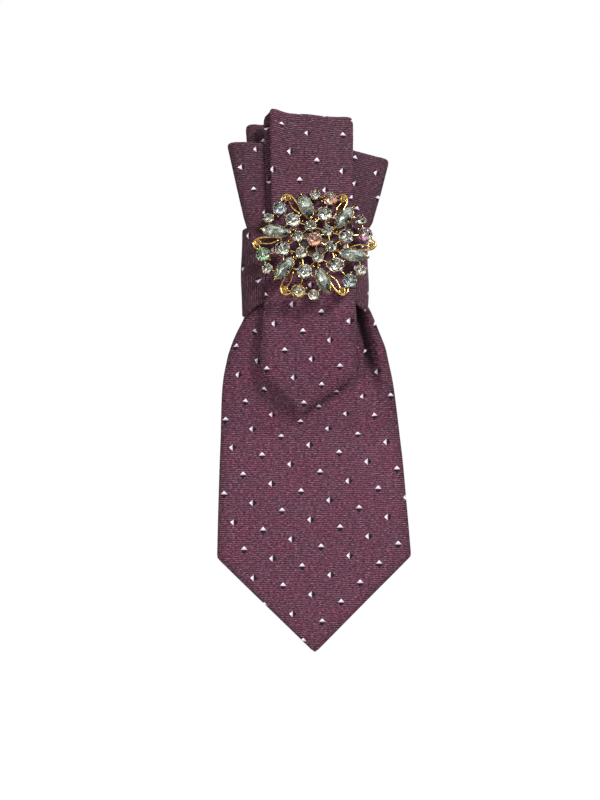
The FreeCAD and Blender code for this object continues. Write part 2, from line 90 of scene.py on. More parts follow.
# ---- meshes ------------------------------------------------------------------------------------
def mesh_piece(name, verts, faces, mats, face_mats=None, shade=True):
    """New object from vertices in millimetres, with its faces turned outwards."""
    mesh = bpy.data.meshes.new(name)
    mesh.from_pydata((np.asarray(verts, float) * MM).tolist(), [], [list(map(int, f)) for f in faces])
    bm = bmesh.new()
    bm.from_mesh(mesh)
    bmesh.ops.recalc_face_normals(bm, faces=bm.faces)
    bm.to_mesh(mesh)
    bm.free()
    for mat in mats:
        mesh.materials.append(mat)
    if face_mats is not None:
        mesh.polygons.foreach_set("material_index", np.asarray(face_mats, np.int32))
    mesh.polygons.foreach_set("use_smooth", [shade] * len(mesh.polygons))
    mesh.update()
    piece = bpy.data.objects.new(name, mesh)
    bpy.context.scene.collection.objects.link(piece)
    return piece


def place_piece(piece, slot, *nodes, body="brooch"):
    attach(piece, body)
    if nodes:
        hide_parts(*nodes)
    return piece


def resample(points, step):
    """Closed outline with its points no further apart than step."""
    pts = np.asarray(points, float)
    made = []
    for a, b in zip(pts, np.roll(pts, -1, axis=0)):
        parts = max(1, int(np.ceil(np.linalg.norm(b - a) / step)))
        made += [a + (b - a) * i / parts for i in range(parts)]
    made = np.array(made)
    far = np.linalg.norm(made - np.roll(made, 1, axis=0), axis=1) > 0.05
    return made[far]


def area_of(pts):
    x, y = pts[:, 0], pts[:, 1]
    return 0.5 * float(np.sum(x * np.roll(y, -1) - np.roll(x, -1) * y))


def inset(border, distance):
    """The outline moved inwards, with mitred corners. It runs counter-clockwise."""
    ahead = np.roll(border, -1, axis=0) - border
    ahead /= np.linalg.norm(ahead, axis=1)[:, None]
    inward = np.stack([-ahead[:, 1], ahead[:, 0]], axis=1)
    before = np.roll(inward, 1, axis=0)
    middle = inward + before
    middle /= np.linalg.norm(middle, axis=1)[:, None]
    along = np.clip(np.sum(middle * inward, axis=1), 0.5, 1)
    return border + middle * (distance / along)[:, None]


def edge_distance(points, border):
    """Distance of each point to a closed outline, and whether it lies inside."""
    a, b = border, np.roll(border, -1, axis=0)
    ab = b - a
    size = np.sum(ab * ab, axis=1)
    best, inside = [], []
    for chunk in np.array_split(points, max(1, len(points) // 1500)):
        ap = chunk[:, None, :] - a[None]
        t = np.clip(np.sum(ap * ab, axis=2) / size, 0, 1)
        best.append(np.linalg.norm(ap - t[..., None] * ab, axis=2).min(axis=1))
        above = a[:, 1] > chunk[:, 1:2]
        crosses = above != (b[:, 1] > chunk[:, 1:2])
        rise = np.where(ab[:, 1] == 0, 1e-12, ab[:, 1])
        at = a[:, 0] + (chunk[:, 1:2] - a[:, 1]) * ab[:, 0] / rise
        inside.append((crosses & (chunk[:, 0:1] < at)).sum(axis=1) % 2 == 1)
    return np.concatenate(best), np.concatenate(inside)


def flat_mesh(border, rows, columns, hem, lines=()):
    """Points and triangles of a flat shape: rings along its edge, then rows and columns."""
    rings = [border] + [inset(border, hem * share) for share in (0.13, 0.42, 1.0)]
    grid = np.array([(x, s) for s in rows for x in columns])
    distance, inside = edge_distance(grid, border)
    keep = inside & (distance > hem + 0.35)
    for line in lines:
        keep &= edge_distance(grid, line)[0] > 0.45
    points, edges, start = list(border), [], 0
    for loop in [border, *lines]:
        if start:
            points += list(loop)
        count = len(loop)
        edges += [(start + i, start + (i + 1) % count) for i in range(count)]
        start += count
    points += [p for ring in rings[1:] for p in ring] + list(grid[keep])
    found = delaunay_2d_cdt([Vector(p) for p in points], edges, [], 0, 1e-6)
    verts = np.array([tuple(v) for v in found[0]])
    faces = np.array([list(f) for f in found[2]])
    centres = verts[faces].mean(axis=1)
    faces = faces[edge_distance(centres, border)[1]]
    used, back = np.unique(faces, return_inverse=True)
    return verts[used], back.reshape(-1, 3)


class Bent:
    """Outer side of a cloth bent along a path of (depth, height) points with rounded corners.

    The path is the cloth's inner side, and its outer side lies to the path's left."""

    def __init__(self, points, radii, thick=CLOTH):
        self.thick = thick
        pts = [np.array(p, float) for p in points]
        inner, normals = [pts[0]], []
        ahead = (pts[1] - pts[0]) / np.linalg.norm(pts[1] - pts[0])
        normals.append((-ahead[1], ahead[0]))
        for corner, after, radius in zip(pts[1:], pts[2:], radii):
            turned = (after - corner) / np.linalg.norm(after - corner)
            cosine = float(ahead @ turned)
            cut = radius * sqrt((1 - cosine) / (1 + cosine))
            turn = 1.0 if ahead[0] * turned[1] - ahead[1] * turned[0] > 0 else -1.0
            left = np.array([-ahead[1], ahead[0]])
            first = corner - ahead * cut
            centre = first + left * turn * radius
            angle = float(np.arccos(np.clip(cosine, -1, 1)))
            parts = max(3, int(angle / 0.2))
            for i in range(parts + 1):
                a = turn * angle * i / parts
                spin = np.array([[cos(a), -sin(a)], [sin(a), cos(a)]])
                inner.append(centre + spin @ (first - centre))
                normals.append(spin @ left)
            ahead = turned
        inner.append(pts[-1])
        normals.append((-ahead[1], ahead[0]))
        self.normal = np.array([tuple(n) for n in normals])
        self.outer = np.array([tuple(p) for p in inner]) + thick * self.normal
        steps = np.linalg.norm(np.diff(self.outer, axis=0), axis=1)
        self.s = np.concatenate([[0], np.cumsum(steps)])
        self.top = float(self.s[np.argmax(self.outer[:, 1])])
        self.rows = self.stations(1.5)

    def stations(self, step):
        made = []
        for a, b in zip(self.s, self.s[1:]):
            parts = max(1, int(np.ceil((b - a) / step)))
            made += [a + (b - a) * i / parts for i in range(parts) if b - a > 1e-6]
        made = np.array(made + [self.s[-1]])
        return made[np.concatenate([[True], np.diff(made) > 0.12])]

    def place(self, s, below):
        normal = np.stack([np.interp(s, self.s, self.normal[:, i]) for i in (0, 1)])
        normal /= np.linalg.norm(normal, axis=0)
        depth, z = (np.interp(s, self.s, self.outer[:, i]) for i in (0, 1))
        return depth - below * normal[0], z - below * normal[1]

    def height(self, s):
        return np.interp(s, self.s, self.outer[:, 1])

    def front(self, z):
        """Length along the path of the front leg's point at height z."""
        down = self.s >= self.top
        return np.interp(-np.asarray(z, float), -self.outer[down, 1], self.s[down])


def rounded_hem(distance, hem):
    """0 on an edge and 1 where the cloth has its full thickness."""
    t = np.clip(distance / hem, 0, 1)
    return np.sqrt(np.clip(1 - (1 - t) ** 2, 0, 1))


def reflect(points, line):
    """Mirror image of flat points in a line."""
    a, b = (np.array(p, float) for p in line)
    ahead = (b - a) / np.linalg.norm(b - a)
    normal = np.array([-ahead[1], ahead[0]])
    return points - 2 * ((points - a) @ normal)[:, None] * normal


def folded_cloth(name, border, rows, step, surface, uv, folds, mats, hem=HEM, thick=CLOTH, sunk=0.0,
                 relief=None, lines=(), plump=0.12, fine=None, crease=None):
    """Closed, flattened tube of cloth: front, rolled edges and back.

    surface(x, s, below) bends it, uv(x, s) lays the weave on it, and the weave of its back is the
    front's, mirrored in the nearest fold."""
    if area_of(border) < 0:
        border = border[::-1]
    left, right = border[:, 0].min(), border[:, 0].max()
    columns = np.linspace(left, right, int((right - left) / step) + 2)
    if fine is not None:
        outside = columns[(columns < fine[0] - 0.4) | (columns > fine[1] + 0.4)]
        columns = np.sort(np.append(outside, np.arange(fine[0], fine[1], 0.7)))
    flat, tris = flat_mesh(border, rows, columns, hem, lines)
    distance = edge_distance(flat, border)[0]
    on_edge = distance < 1e-4
    swell = rounded_hem(distance, hem)
    crown = plump * bell(distance, 2.2, 1.3) * (1 - on_edge)
    front = sunk + thick / 2 * (1 - swell) - crown
    back = sunk + thick / 2 * (1 + swell) + crown * 0.6
    if relief is not None:
        back = back - relief(flat) * swell
    inner = np.flatnonzero(~on_edge)
    behind = np.arange(len(flat))
    behind[inner] = len(flat) + np.arange(len(inner))
    x = np.concatenate([flat[:, 0], flat[inner, 0]])
    s = np.concatenate([flat[:, 1], flat[inner, 1]])
    below = np.concatenate([front, back[inner]])
    x, depth, z = surface(x, s, below)
    faces = np.vstack([tris, behind[tris][:, ::-1]])
    piece = mesh_piece(name, np.stack([x, -depth, z], axis=1), faces, mats)
    lay_weave(piece, flat, behind, len(tris), uv, folds)
    # Painted shade and sheen: the cloth is darkened and greyed near its edges, and crease() adds
    # painted shade in its folds.
    edge = 0.55 * bell(distance, 0.0, 2.6)
    if crease is not None:
        edge = np.maximum(edge, crease(flat[:, 0], flat[:, 1]))
    mark_painted_shade(piece, np.concatenate([edge, edge[inner]]))
    return piece


def mark_painted_shade(piece, values):
    """Painted shade and sheen: how much the cloth is darkened and greyed and its ribs sharpened, from 0
    on flat cloth to 1 deep in a crease.
    """
    layer = piece.data.attributes.new("PaintedShade", "FLOAT", "POINT")
    layer.data.foreach_set("value", np.asarray(values, np.float32))


def lay_weave(piece, flat, behind, front_faces, uv, folds):
    mesh = piece.data
    source = np.empty(len(mesh.vertices), int)
    source[: len(flat)] = np.arange(len(flat))
    source[behind] = np.arange(len(flat))
    corner = np.empty(len(mesh.loops), np.int32)
    mesh.loops.foreach_get("vertex_index", corner)
    at = flat[source[corner]]
    face = np.repeat(np.arange(len(mesh.polygons)), 3)
    centre = at.reshape(-1, 3, 2).mean(axis=1)
    gaps = []
    for a, b in (map(np.array, line) for line in folds):
        ahead = (b - a) / np.linalg.norm(b - a)
        gaps.append(np.abs((centre - a) @ np.array([-ahead[1], ahead[0]])))
    nearest = np.argmin(gaps, axis=0)[face]
    for i, line in enumerate(folds):
        chosen = (face >= front_faces) & (nearest == i)
        at[chosen] = reflect(at[chosen], line)
    add_map(mesh, "Weave", *uv(at[:, 0], at[:, 1]))
    add_map(mesh, "Ribs", at[:, 0], -at[:, 1])


def add_map(mesh, name, u, v):
    layer = mesh.uv_layers.new(name=name)
    layer.data.foreach_set("uv", (np.stack([u, v], axis=1) * MM).astype(np.float32).ravel())


def laid(anchor, lattice, turn, scale):
    """Weave coordinates of flat (x, up) points: anchor carries the pattern's point lattice."""
    c, sn = cos(radians(turn)), sin(radians(turn))

    def weave(x, up):
        dx, dz = x - anchor[0], up - anchor[1]
        u = (dx * c + dz * sn) * scale[0] + lattice[0]
        v = (-dx * sn + dz * c) * scale[1] + lattice[1]
        return u, v

    return weave


# ---- node materials ----------------------------------------------------------------------------
class Graph:
    """A material and short ways to add nodes to it."""

    def __init__(self, name):
        self.material = bpy.data.materials.new(name)
        self.material.use_nodes = True
        self.nodes = self.material.node_tree.nodes
        self.links = self.material.node_tree.links
        self.shader = self.nodes["Principled BSDF"]

    def feed(self, socket, value):
        if isinstance(value, bpy.types.NodeSocket):
            self.links.new(value, socket)
        elif value is not None:
            socket.default_value = value

    def node(self, kind, *values, **settings):
        made = self.nodes.new("ShaderNode" + kind)
        for key, value in settings.items():
            setattr(made, key, value)
        for socket, value in zip(made.inputs, values):
            self.feed(socket, value)
        return made

    def maths(self, operation, a, b=None, c=None):
        return self.node("Math", a, b, c, operation=operation).outputs[0]

    def vector(self, operation, a, b=None):
        made = self.node("VectorMath", a, b, operation=operation)
        return made.outputs["Value" if operation == "DOT_PRODUCT" else "Vector"]

    def noise(self, at, scale, detail=2.0, roughness=0.5, distortion=0.0):
        made = self.node("TexNoise")
        for name, value in (
            ("Vector", at), ("Scale", scale), ("Detail", detail), ("Roughness", roughness),
            ("Distortion", distortion),
        ):
            self.feed(made.inputs[name], value)
        return made.outputs[0]

    def blend(self, factor, a, b, kind="MIX"):
        made = self.node("Mix", data_type="RGBA", blend_type=kind)
        self.feed(made.inputs["Factor"], factor)
        self.feed(made.inputs[6], a)
        self.feed(made.inputs[7], b)
        return made.outputs[2]

    def ramp(self, factor, *stops):
        """Colours at places; a colour is three numbers."""
        made = self.node("ValToRGB", factor)
        elements = made.color_ramp.elements
        while len(elements) < len(stops):
            elements.new(0.5)
        for element, (place, colour) in zip(elements, stops):
            element.position = place
            element.color = (*colour, 1.0)
        return made.outputs[0]

    def levels(self, factor, low, high, new_low, new_high):
        return self.node("MapRange", factor, low, high, new_low, new_high).outputs[0]

    def bump(self, height, strength, distance):
        made = self.node("Bump")
        self.feed(made.inputs["Strength"], strength)
        self.feed(made.inputs["Distance"], distance)
        self.feed(made.inputs["Height"], height)
        self.links.new(made.outputs[0], self.shader.inputs["Normal"])

    def object_mm(self):
        return self.scaled(self.node("TexCoord").outputs["Object"], 1 / MM)

    def scaled(self, at, scale):
        made = self.node("VectorMath", at, operation="SCALE")
        made.inputs["Scale"].default_value = scale
        return made.outputs[0]

    def stretched(self, at, factors):
        return self.vector("MULTIPLY", at, factors)

    def finish(self, **values):
        names = {
            "colour": "Base Color", "rough": "Roughness", "metal": "Metallic", "sheen": "Sheen Weight",
            "sheen_rough": "Sheen Roughness", "sheen_tint": "Sheen Tint", "ior": "IOR",
            "glass": "Transmission Weight", "coat": "Coat Weight", "coat_rough": "Coat Roughness",
            "specular": "Specular IOR Level",
        }
        for key, value in values.items():
            self.feed(self.shader.inputs[names[key]], value)
        return self.material


def linear(r, g, b):
    """Linear colour from the usual 0 to 255 screen values."""
    made = []
    for c in (r, g, b):
        c /= 255
        made.append(c / 12.92 if c <= 0.04045 else ((c + 0.055) / 1.055) ** 2.4)
    return tuple(made)


def cloth_point(g, name="Ribs"):
    """A cloth's own coordinates, in millimetres."""
    return g.scaled(g.node("UVMap", uv_map=name).outputs[0], 1 / MM)


def diamonds(g, at):
    """Masks of the woven diamonds: the whole diamond, its light half, and how near its middle."""
    (ax, az), (bx, bz) = PATTERN_DOWN, PATTERN_ACROSS
    size = bx * az - bz * ax
    across = g.vector("DOT_PRODUCT", at, (az / size, -ax / size, 0))
    down = g.vector("DOT_PRODUCT", at, (-bz / size, bx / size, 0))
    column = g.maths("ROUND", across)
    fx = g.maths("SUBTRACT", across, column)
    fd = g.maths("SUBTRACT", down, g.maths("ROUND", down))
    x = g.maths("MULTIPLY_ADD", fx, bx, g.maths("MULTIPLY", fd, ax))
    z = g.maths("MULTIPLY_ADD", fx, bz, g.maths("MULTIPLY", fd, az))
    half = 1.72
    reach = g.maths("ADD", g.maths("ABSOLUTE", x), g.maths("ABSOLUTE", z))
    whole = g.levels(reach, half + 0.12, half - 0.12, 0.0, 1.0)
    odd = g.maths("PINGPONG", column, 1.0)
    side = g.node("Mix", data_type="FLOAT")
    g.feed(side.inputs["Factor"], odd)
    g.feed(side.inputs[2], z)
    g.feed(side.inputs[3], g.maths("MULTIPLY", x, -1.0))
    towards = side.outputs[0]
    light = g.levels(towards, 0.0, 0.22, 0.0, 1.0)
    tip = g.levels(towards, 0.1, 1.2, 0.0, 1.0)
    return whole, light, tip


def silk(name, shade=1.0, grey=0.0):
    """Ribbed silk: fine crosswise ribs of mottled plum yarn with small two-tone diamonds. Its shade and
    grey darken and dull the whole cloth as painted shade and sheen, and a point attribute adds painted
    shade near hems and in creases.
    """
    g = Graph(name)
    at = cloth_point(g)
    parts = g.node("SeparateXYZ", at)
    # Painted shade and sheen, stored per point: near hems and in creases the ribs show stronger and the
    # cloth darker and greyer.
    edge = g.node("Attribute", attribute_name="PaintedShade").outputs["Fac"]
    wander = g.noise(g.stretched(at, (0.08, 0.08, 1.0)), 1.0, 1.0)
    rows = g.maths("MULTIPLY_ADD", wander, 1.4, parts.outputs[1])
    rib = g.maths("SINE", g.maths("MULTIPLY", rows, 2 * pi / 0.95))
    slant = g.maths("MULTIPLY", rows, 3.4)
    yarn = g.maths("SINE", g.maths("MULTIPLY_ADD", parts.outputs[0], 2 * pi / 0.46, slant))
    fleck = g.noise(g.stretched(at, (0.8, 1.9, 1.0)), 1.0, 2.0, 0.65)
    twill = g.noise(g.vector("ADD", g.stretched(at, (0.45, 1.1, 1.0)), (7.0, 3.0, 0.0)), 1.0, 3.0,
                    0.6, 0.6)
    patch = g.noise(g.stretched(at, (0.07, 0.1, 1.0)), 1.0, 2.0)
    # Painted shade: stronger ribs and a darker tone where the attribute is high.
    strength = g.maths("MULTIPLY_ADD", edge, 0.15, 0.19)
    tone = g.maths("MULTIPLY_ADD", rib, strength, g.maths("MULTIPLY", yarn, 0.05))
    tone = g.maths("ADD", tone, g.levels(fleck, 0.25, 0.75, -0.5, 0.48))
    tone = g.maths("ADD", tone, g.levels(twill, 0.3, 0.7, -0.15, 0.15))
    tone = g.maths("ADD", tone, g.maths("MULTIPLY_ADD", edge, -0.22, 0.5))
    stops = ((0.0, (26, 10, 18)), (0.3, (66, 34, 48)), (0.58, (96, 56, 74)), (0.8, (120, 76, 96)),
             (1.0, (160, 112, 134)))
    plum = g.ramp(tone, *((place, tuple(shade * c for c in linear(*rgb))) for place, rgb in stops))
    warm = g.blend(1.0, plum, (1.16, 0.84, 0.95, 1.0), "MULTIPLY")
    plum = g.blend(g.levels(patch, 0.4, 0.65, 0.0, 0.8), plum, warm)
    # Painted sheen and shade: towards hems and creases, and more on the greyer copies, the plum is
    # dulled to grey.
    painted_grey = g.blend(1.0, plum, (0.8, 1.0, 0.84, 1.0), "MULTIPLY")
    plum = g.blend(g.maths("ADD", edge, grey), plum, painted_grey)
    # Painted shade: darkening deep in creases.
    deep = g.levels(edge, 0.5, 1.0, 1.0, 0.16)
    plum = g.blend(1.0, plum, g.node("CombineColor", deep, deep, deep).outputs[0], "MULTIPLY")
    whole, light, tip = diamonds(g, cloth_point(g, "Weave"))
    streak = g.levels(rib, -1.0, 1.0, 0.8, 1.0)
    pale = g.blend(tip, (*linear(168, 130, 160), 1.0), (*linear(255, 248, 255), 1.0))
    pale = g.blend(1.0, pale, g.node("CombineColor", streak, streak, streak).outputs[0], "MULTIPLY")
    threads = g.levels(fleck, 0.4, 0.7, 0.0, 1.0)
    dark = g.blend(threads, (*linear(6, 2, 6), 1.0), (*linear(26, 12, 28), 1.0))
    colour = g.blend(whole, plum, g.blend(light, dark, pale))
    height = g.maths("MULTIPLY_ADD", rib, 0.6, g.maths("MULTIPLY", yarn, 0.25))
    height = g.maths("ADD", height, g.maths("MULTIPLY", fleck, 1.0))
    height = g.maths("ADD", height, g.maths("MULTIPLY", whole, 0.5))
    g.bump(height, 0.7, 0.00014)
    rough = g.levels(fleck, 0.3, 0.7, 0.45, 0.62)
    return g.finish(colour=colour, rough=rough, specular=0.14, sheen=0.08, sheen_rough=0.45,
                    sheen_tint=(0.95, 0.72, 0.85, 1.0))


def satin(name):
    """Plain plum lining satin with a fine diagonal grain."""
    g = Graph(name)
    at = cloth_point(g)
    parts = g.node("SeparateXYZ", at)
    up = g.maths("MULTIPLY", parts.outputs[1], 2 * pi / 0.34)
    grain = g.maths("SINE", g.maths("MULTIPLY_ADD", parts.outputs[0], 2 * pi / 0.5, up))
    cloud = g.noise(g.stretched(at, (0.35, 0.05, 1.0)), 1.0, 2.0)
    tone = g.maths("MULTIPLY_ADD", grain, 0.1, cloud)
    colour = g.ramp(tone, (0.2, linear(58, 30, 48)), (0.8, linear(96, 56, 80)))
    g.bump(g.maths("MULTIPLY_ADD", grain, 0.4, cloud), 0.3, 0.00006)
    return g.finish(colour=colour, rough=g.levels(cloud, 0.3, 0.7, 0.26, 0.36), specular=0.6)


def wool(name):
    g = Graph(name)
    at = g.object_mm()
    tufts = g.noise(at, 1.6, 4.0, 0.7)
    colour = g.ramp(tufts, (0.3, linear(196, 188, 172)), (0.7, linear(232, 226, 212)))
    g.bump(tufts, 0.8, 0.0003)
    return g.finish(colour=colour, rough=0.95, sheen=0.3)


def felt(name):
    """Pressed black felt with stray grey fibres."""
    g = Graph(name)
    at = g.object_mm()
    tufts = g.noise(at, 2.2, 5.0, 0.7, 0.8)
    strand = g.noise(g.stretched(at, (0.9, 0.9, 5.0)), 1.0, 3.0, 0.6, 2.2)
    colour = g.ramp(tufts, (0.3, linear(20, 18, 21)), (0.6, linear(44, 40, 46)),
                    (0.8, linear(88, 82, 90)))
    colour = g.blend(g.levels(strand, 0.62, 0.7, 0.0, 0.5), colour, (*linear(120, 112, 120), 1.0))
    g.bump(g.maths("ADD", tufts, g.maths("MULTIPLY", strand, 0.5)), 0.9, 0.0004)
    return g.finish(colour=colour, rough=0.96, specular=0.15, sheen=0.35, sheen_rough=0.6)


def thread(name):
    g = Graph(name)
    at = g.object_mm()
    ply = g.noise(g.stretched(at, (3.0, 3.0, 3.0)), 1.0, 2.0, 0.6)
    colour = g.ramp(ply, (0.3, linear(70, 38, 56)), (0.7, linear(128, 84, 106)))
    g.bump(ply, 0.4, 0.00008)
    return g.finish(colour=colour, rough=g.levels(ply, 0.3, 0.7, 0.45, 0.65), sheen=0.2)


def glue(name):
    """Set glue: smoky brown, with small bubbles."""
    g = Graph(name)
    at = g.object_mm()
    cloud = g.noise(at, 0.6, 3.0)
    bubbles = g.node("TexVoronoi", feature="F1")
    g.feed(bubbles.inputs["Vector"], at)
    g.feed(bubbles.inputs["Scale"], 0.9)
    spots = g.levels(bubbles.outputs["Distance"], 0.1, 0.25, 1.0, 0.0)
    colour = g.ramp(cloud, (0.3, linear(34, 18, 24)), (0.7, linear(58, 34, 42)))
    g.bump(g.maths("SUBTRACT", cloud, g.maths("MULTIPLY", spots, 0.4)), 0.4, 0.0003)
    return g.finish(colour=colour, rough=g.levels(cloud, 0.3, 0.7, 0.2, 0.4), specular=0.5)


def gold(name):
    """Gold plating over a cast alloy: bright on raised parts, and darker and rougher in its hollows,
    where the darkening is painted shade.
    """
    g = Graph(name)
    at = g.object_mm()
    cast = g.noise(at, 0.9, 3.0, 0.6)
    worn = g.noise(at, 0.22, 2.0)
    point = g.node("NewGeometry").outputs["Pointiness"]
    raised = g.levels(point, 0.44, 0.56, 0.0, 1.0)
    colour = g.ramp(cast, (0.25, linear(128, 94, 48)), (0.6, linear(212, 174, 104)),
                    (0.85, linear(248, 230, 180)))
    # Painted shade in the hollows.
    colour = g.blend(g.levels(raised, 0.0, 0.5, 0.75, 0.0), colour, (*linear(74, 44, 16), 1.0))
    colour = g.blend(g.levels(worn, 0.6, 0.75, 0.0, 0.35), colour, (*linear(222, 206, 170), 1.0))
    rough = g.maths("ADD", g.levels(cast, 0.3, 0.7, 0.12, 0.28), g.levels(raised, 0.0, 0.6, 0.15, 0.0))
    g.bump(cast, 0.35, 0.00012)
    return g.finish(colour=colour, metal=1.0, rough=rough)


def steel(name, tint, low, high, along=(1.0, 8.0, 8.0)):
    """Plated or drawn steel with fine lines along x, small scratches and dull spots."""
    g = Graph(name)
    at = g.object_mm()
    drawn = g.noise(g.stretched(at, along), 1.0, 3.0, 0.6)
    dull = g.noise(at, 0.35, 3.0, 0.6)
    scratch = g.levels(g.noise(g.stretched(at, (0.6, 9.0, 5.0)), 1.0, 2.0, 0.5, 1.5), 0.66, 0.72,
                       0.0, 1.0)
    bright = tuple(min(1.0, c * 1.12) for c in tint)
    deep = tuple(c * 0.7 for c in tint)
    colour = g.ramp(drawn, (0.25, deep), (0.7, bright))
    colour = g.blend(g.levels(dull, 0.55, 0.75, 0.0, 0.5), colour,
                     (*tuple(c * 0.55 for c in tint), 1.0))
    rough = g.maths("ADD", g.levels(dull, 0.3, 0.7, low, high), g.maths("MULTIPLY", scratch, 0.18))
    g.bump(g.maths("ADD", drawn, scratch), 0.15, 0.00001)
    return g.finish(colour=colour, metal=1.0, rough=rough)


def crystal(name, tint=(1.0, 1.0, 1.0)):
    """Clear cut glass with faint polishing haze."""
    g = Graph(name)
    at = g.object_mm()
    haze = g.noise(at, 1.4, 2.0)
    colour = g.blend(haze, (*tuple(0.93 * c for c in tint), 1.0), (*tint, 1.0))
    return g.finish(colour=colour, glass=1.0, rough=g.levels(haze, 0.4, 0.7, 0.0, 0.03), ior=1.56)


def foil(name, light, dark):
    """Mirror foil behind a stone, bright and dark by turns from facet to facet: the dark patches are
    painted dark reflections.
    """
    g = Graph(name)
    at = g.object_mm()
    cell = g.node("TexVoronoi", feature="F1")
    g.feed(cell.inputs["Vector"], at)
    g.feed(cell.inputs["Scale"], 1.1)
    pick = g.node("SeparateXYZ", cell.outputs["Color"]).outputs[0]
    # Painted reflection: cells of the dark colour stand for facets that mirror something dark.
    colour = g.ramp(pick, (0.2, dark), (0.34, light))
    return g.finish(colour=colour, metal=1.0, rough=g.levels(pick, 0.0, 1.0, 0.03, 0.12))


def aurora_foil(name):
    """Foil with a rainbow coat: each stone leans to its own pair of colours."""
    g = Graph(name)
    at = g.object_mm()
    turned = g.node("Mapping", at)
    turned.inputs["Location"].default_value = (0.0, 0.0, 5.2)
    turned.vector_type = "TEXTURE"
    parts = g.node("SeparateXYZ", turned.outputs[0])
    angle = g.maths("ARCTAN2", parts.outputs[2], parts.outputs[0])
    turn = g.levels(angle, -pi, pi, 0.0, 1.0)
    own = g.ramp(
        turn,
        (0.0, linear(150, 235, 205)), (0.14, linear(250, 190, 60)), (0.2, linear(250, 190, 60)),
        (0.33, linear(120, 130, 225)), (0.42, linear(120, 130, 225)), (0.5, linear(240, 120, 210)),
        (0.6, linear(236, 130, 190)), (0.68, linear(255, 120, 90)), (0.78, linear(255, 130, 100)),
        (0.88, linear(150, 140, 235)), (1.0, linear(150, 235, 205)),
    )
    spots = g.noise(at, 0.55, 1.0)
    other = g.ramp(
        g.noise(g.vector("ADD", at, (9.0, 0.0, 0.0)), 0.5, 1.0),
        (0.3, linear(240, 220, 120)), (0.45, linear(235, 240, 235)), (0.6, linear(120, 230, 190)),
        (0.72, linear(250, 150, 190)),
    )
    colour = g.blend(g.levels(spots, 0.42, 0.55, 0.0, 1.0), own, other)
    colour = g.blend(0.42, colour, (*linear(214, 218, 208), 1.0))
    return g.finish(colour=colour, metal=1.0, rough=g.levels(spots, 0.3, 0.7, 0.04, 0.14))


def pearl_foil(name):
    """Grey mirror backing of the pointed stones, which look smoky beside the others; its darker and
    brighter patches are painted reflections.
    """
    g = Graph(name)
    at = g.object_mm()
    cloud = g.noise(at, 0.4, 2.0)
    # Grey of the foil, with its dark and bright patches painted as reflections.
    colour = g.ramp(cloud, (0.3, linear(112, 120, 110)), (0.52, linear(172, 178, 166)),
                    (0.72, linear(236, 238, 228)))
    return g.finish(colour=colour, metal=1.0, rough=g.levels(cloud, 0.3, 0.7, 0.12, 0.3))


def pale_floor(name):
    g = Graph(name)
    grain = g.noise(g.object_mm(), 0.02, 3.0)
    colour = g.ramp(grain, (0.3, (0.93, 0.93, 0.93)), (0.7, (0.96, 0.96, 0.96)))
    return g.finish(colour=colour, rough=0.8, specular=0.1)


# ---- the lengths of necktie --------------------------------------------------------------------
def loop_path(first_depth, top, bend, lean, air=0.4, leg_end=LEG_END):
    rear = first_depth + CLOTH
    front = rear + GAP
    middle = (rear + front) / 2 - lean * (top - bend)
    fold = top - CLOTH
    fold_r = 0.95 * air / 2
    points = [
        (rear, leg_end), (rear, bend), (middle - air / 2, fold),
        (middle + air / 2, fold), (front, bend), (front, leg_end),
    ]
    return Bent(points, (8.0, fold_r, fold_r, 8.0))


def side_by_side(path, left, right, last=None, corner=2.2):
    """Left and right edges of a strip at each row of its path, drawn in at its fold."""
    rows = path.rows if last is None else np.append(path.rows[path.rows < last - 0.3], last)
    z = path.height(rows)
    draw = corner * np.clip(1 - np.abs(rows - path.top) / 3.6, 0, 1) ** 2
    xl = np.array([left(a, b) for a, b in zip(z, rows)]) + draw
    xr = np.array([right(a, b) for a, b in zip(z, rows)]) - draw
    return np.stack([xl, rows], axis=1), np.stack([xr, rows], axis=1)


def closed(left, right, tip=()):
    """Outline down the left edge, round the tip and up the right edge."""
    pts = list(left) + [np.array(p) for p in tip] + list(right[::-1])
    return resample(np.array(pts), 1.5)


def both_layers(name, border, path, surface, uv, folds, silk_mat, wool_mat, nodes, **extra):
    """A length of tie: its silk, and the interlining inside that follows it."""
    shell = folded_cloth(name + "_silk", border, path.rows, 1.5, surface, uv, folds, [silk_mat],
                         **extra)
    place_piece(shell, "tie_silk", nodes[0])
    ring = border if area_of(border) > 0 else border[::-1]
    core_border = resample(inset(ring, HEM + 0.2), 1.5)
    core = folded_cloth(name + "_wool", core_border, path.rows, 1.5, surface, uv, folds, [wool_mat],
                        hem=0.3, thick=CLOTH - 2 * FACE - 0.2, sunk=FACE + 0.1, plump=0.0,
                        fine=extra.get("fine"))
    place_piece(core, "interlining_wool", nodes[1])
    return shell, core


def seam_outline(x, start, end):
    """Narrow outline along a back seam, where the cloth's two edges meet."""
    return resample(np.array([(x - 0.2, start), (x, start), (x, end), (x - 0.2, end)]), 1.5)


def seam_relief(seam_x, seam_end, kite=None, lap=0.28):
    """Back of a tie: one edge lapped over the other, and a hollow for the lining at the tip."""

    def relief(flat):
        x, s = flat[:, 0], flat[:, 1]
        over = lap * ramp(seam_x - x, 0.0, 0.16) * (1 - ramp(seam_x - x, 0.2, 7.0))
        under = -0.1 * ramp(x - seam_x, 0.0, 0.5) * (1 - ramp(x - seam_x, 0.5, 6.0))
        made = -(over + under) * (1 - ramp(s, seam_end - 1.0, seam_end + 0.5))
        if kite is not None:
            distance, inside = edge_distance(flat, kite)
            made = made + np.where(inside, 0.3 * ramp(distance, 0.0, 0.2), 0.0)
            made = made - np.where(inside, 0.0, 0.18 * bell(distance, 0.0, 3.0))
        return made

    return relief


